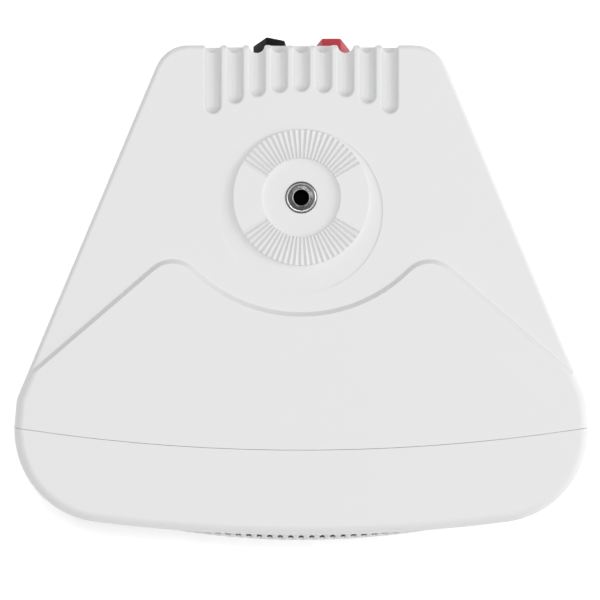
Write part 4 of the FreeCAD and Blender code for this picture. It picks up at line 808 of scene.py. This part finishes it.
# floor, light and camera
# the floor's width, the softbox's place and size and the camera's reach are in metres
stageSizes = {
    "floorWide": 6.0, "floorBelow": 0.05, "floorWhite": (1.0, 1.0, 1.0, 1.0), "floorGlow": 0.27,
    "floorRoughness": 0.9, "floorShine": 0.1,
}
cameraSizes = {
    "aimX": -0.4, "aimY": -33.2, "above": 2200.0, "viewWide": 194.2, "sensor": 36.0, "reach": 20.0,
}
lightSizes = {
    "overhead": {"offset": (6.0, 13.5), "height": 250.0, "strength": 0.88, "spread": 2.2},
    "side": {"place": (1.9, 0.3, 1.5), "size": 1.2, "power": 11.0},
    "dome": 0.575, "domeLean": (0.40, -0.20), "panels": 0.8, "least": 0.05,
}


def makeStage():
    bm = bmesh.new()
    bmesh.ops.create_grid(bm, x_segments=1, y_segments=1, size=stageSizes["floorWide"] / 2)
    bmesh.ops.translate(bm, verts=bm.verts, vec=(0, 0, cadLow.z - stageSizes["floorBelow"] * mm))
    mesh = bpy.data.meshes.new("floor")
    bm.to_mesh(mesh)
    bm.free()
    floor = bpy.data.objects.new("floor", mesh)
    bpy.context.scene.collection.objects.link(floor)
    white = stageSizes["floorWhite"]
    paper = newFinish("floorPaper", Roughness=stageSizes["floorRoughness"], Base_Color=white,
                      Emission_Color=white, Emission_Strength=stageSizes["floorGlow"],
                      Specular_IOR_Level=stageSizes["floorShine"])
    mesh.materials.append(paper[0])


def makeLights():
    scene = bpy.context.scene
    scene.view_settings.view_transform = "Standard"
    world = bpy.data.worlds.new("studio")
    world.use_nodes = True
    tree = world.node_tree
    back = tree.nodes["Background"]
    back.inputs["Color"].default_value = (1, 1, 1, 1)
    way = addNode(tree, "ShaderNodeSeparateXYZ")
    tree.links.new(addNode(tree, "ShaderNodeTexCoord").outputs["Generated"], way.inputs[0])
    lean = lightSizes["domeLean"]
    sideways = maths(tree, "MULTIPLY_ADD", way.outputs["X"], lean[0], 1.0)
    least = lightSizes["least"]
    leaning = maths(tree, "MAXIMUM", maths(tree, "MULTIPLY_ADD", way.outputs["Y"], lean[1], sideways), least)
    # bright panels out to the sides and dark ones at front and back, plainest in polished metal
    ahead = maths(tree, "MULTIPLY", way.outputs["Y"], way.outputs["Y"])
    cross = maths(tree, "SUBTRACT", maths(tree, "MULTIPLY", way.outputs["X"], way.outputs["X"]), ahead)
    panelled = maths(tree, "MULTIPLY_ADD", cross, lightSizes["panels"], leaning)
    strength = maths(tree, "MULTIPLY", maths(tree, "MAXIMUM", panelled, least), lightSizes["dome"])
    tree.links.new(strength, back.inputs["Strength"])
    scene.world = world
    over = lightSizes["overhead"]
    sun = bpy.data.lights.new("overheadSoft", "SUN")
    sun.energy = over["strength"]
    sun.angle = math.radians(over["spread"])
    lamp = bpy.data.objects.new("overheadSoft", sun)
    towards = Vector((over["offset"][0], over["offset"][1], over["height"])).normalized()
    lamp.rotation_euler = towards.to_track_quat("Z", "Y").to_euler()
    scene.collection.objects.link(lamp)
    side = lightSizes["side"]
    area = bpy.data.lights.new("sideSoftbox", "AREA")
    area.size = side["size"]
    area.energy = side["power"]
    box = bpy.data.objects.new("sideSoftbox", area)
    box.location = side["place"]
    aim = Vector((0, 0, cadHigh.z)) - Vector(side["place"])
    box.rotation_euler = aim.to_track_quat("-Z", "Y").to_euler()
    scene.collection.objects.link(box)


def makeCamera():
    s = cameraSizes
    camera = bpy.data.objects.new("camera", bpy.data.cameras.new("camera"))
    camera.data.sensor_width = s["sensor"]
    camera.data.lens = s["sensor"] * s["above"] / s["viewWide"]
    camera.data.clip_end = s["reach"]
    camera.location = (s["aimX"] * mm, s["aimY"] * mm, cadHigh.z + s["above"] * mm)
    bpy.context.scene.collection.objects.link(camera)
    bpy.context.scene.camera = camera


makeStage()
makeLights()
makeCamera()
print("stage, light and camera ready")
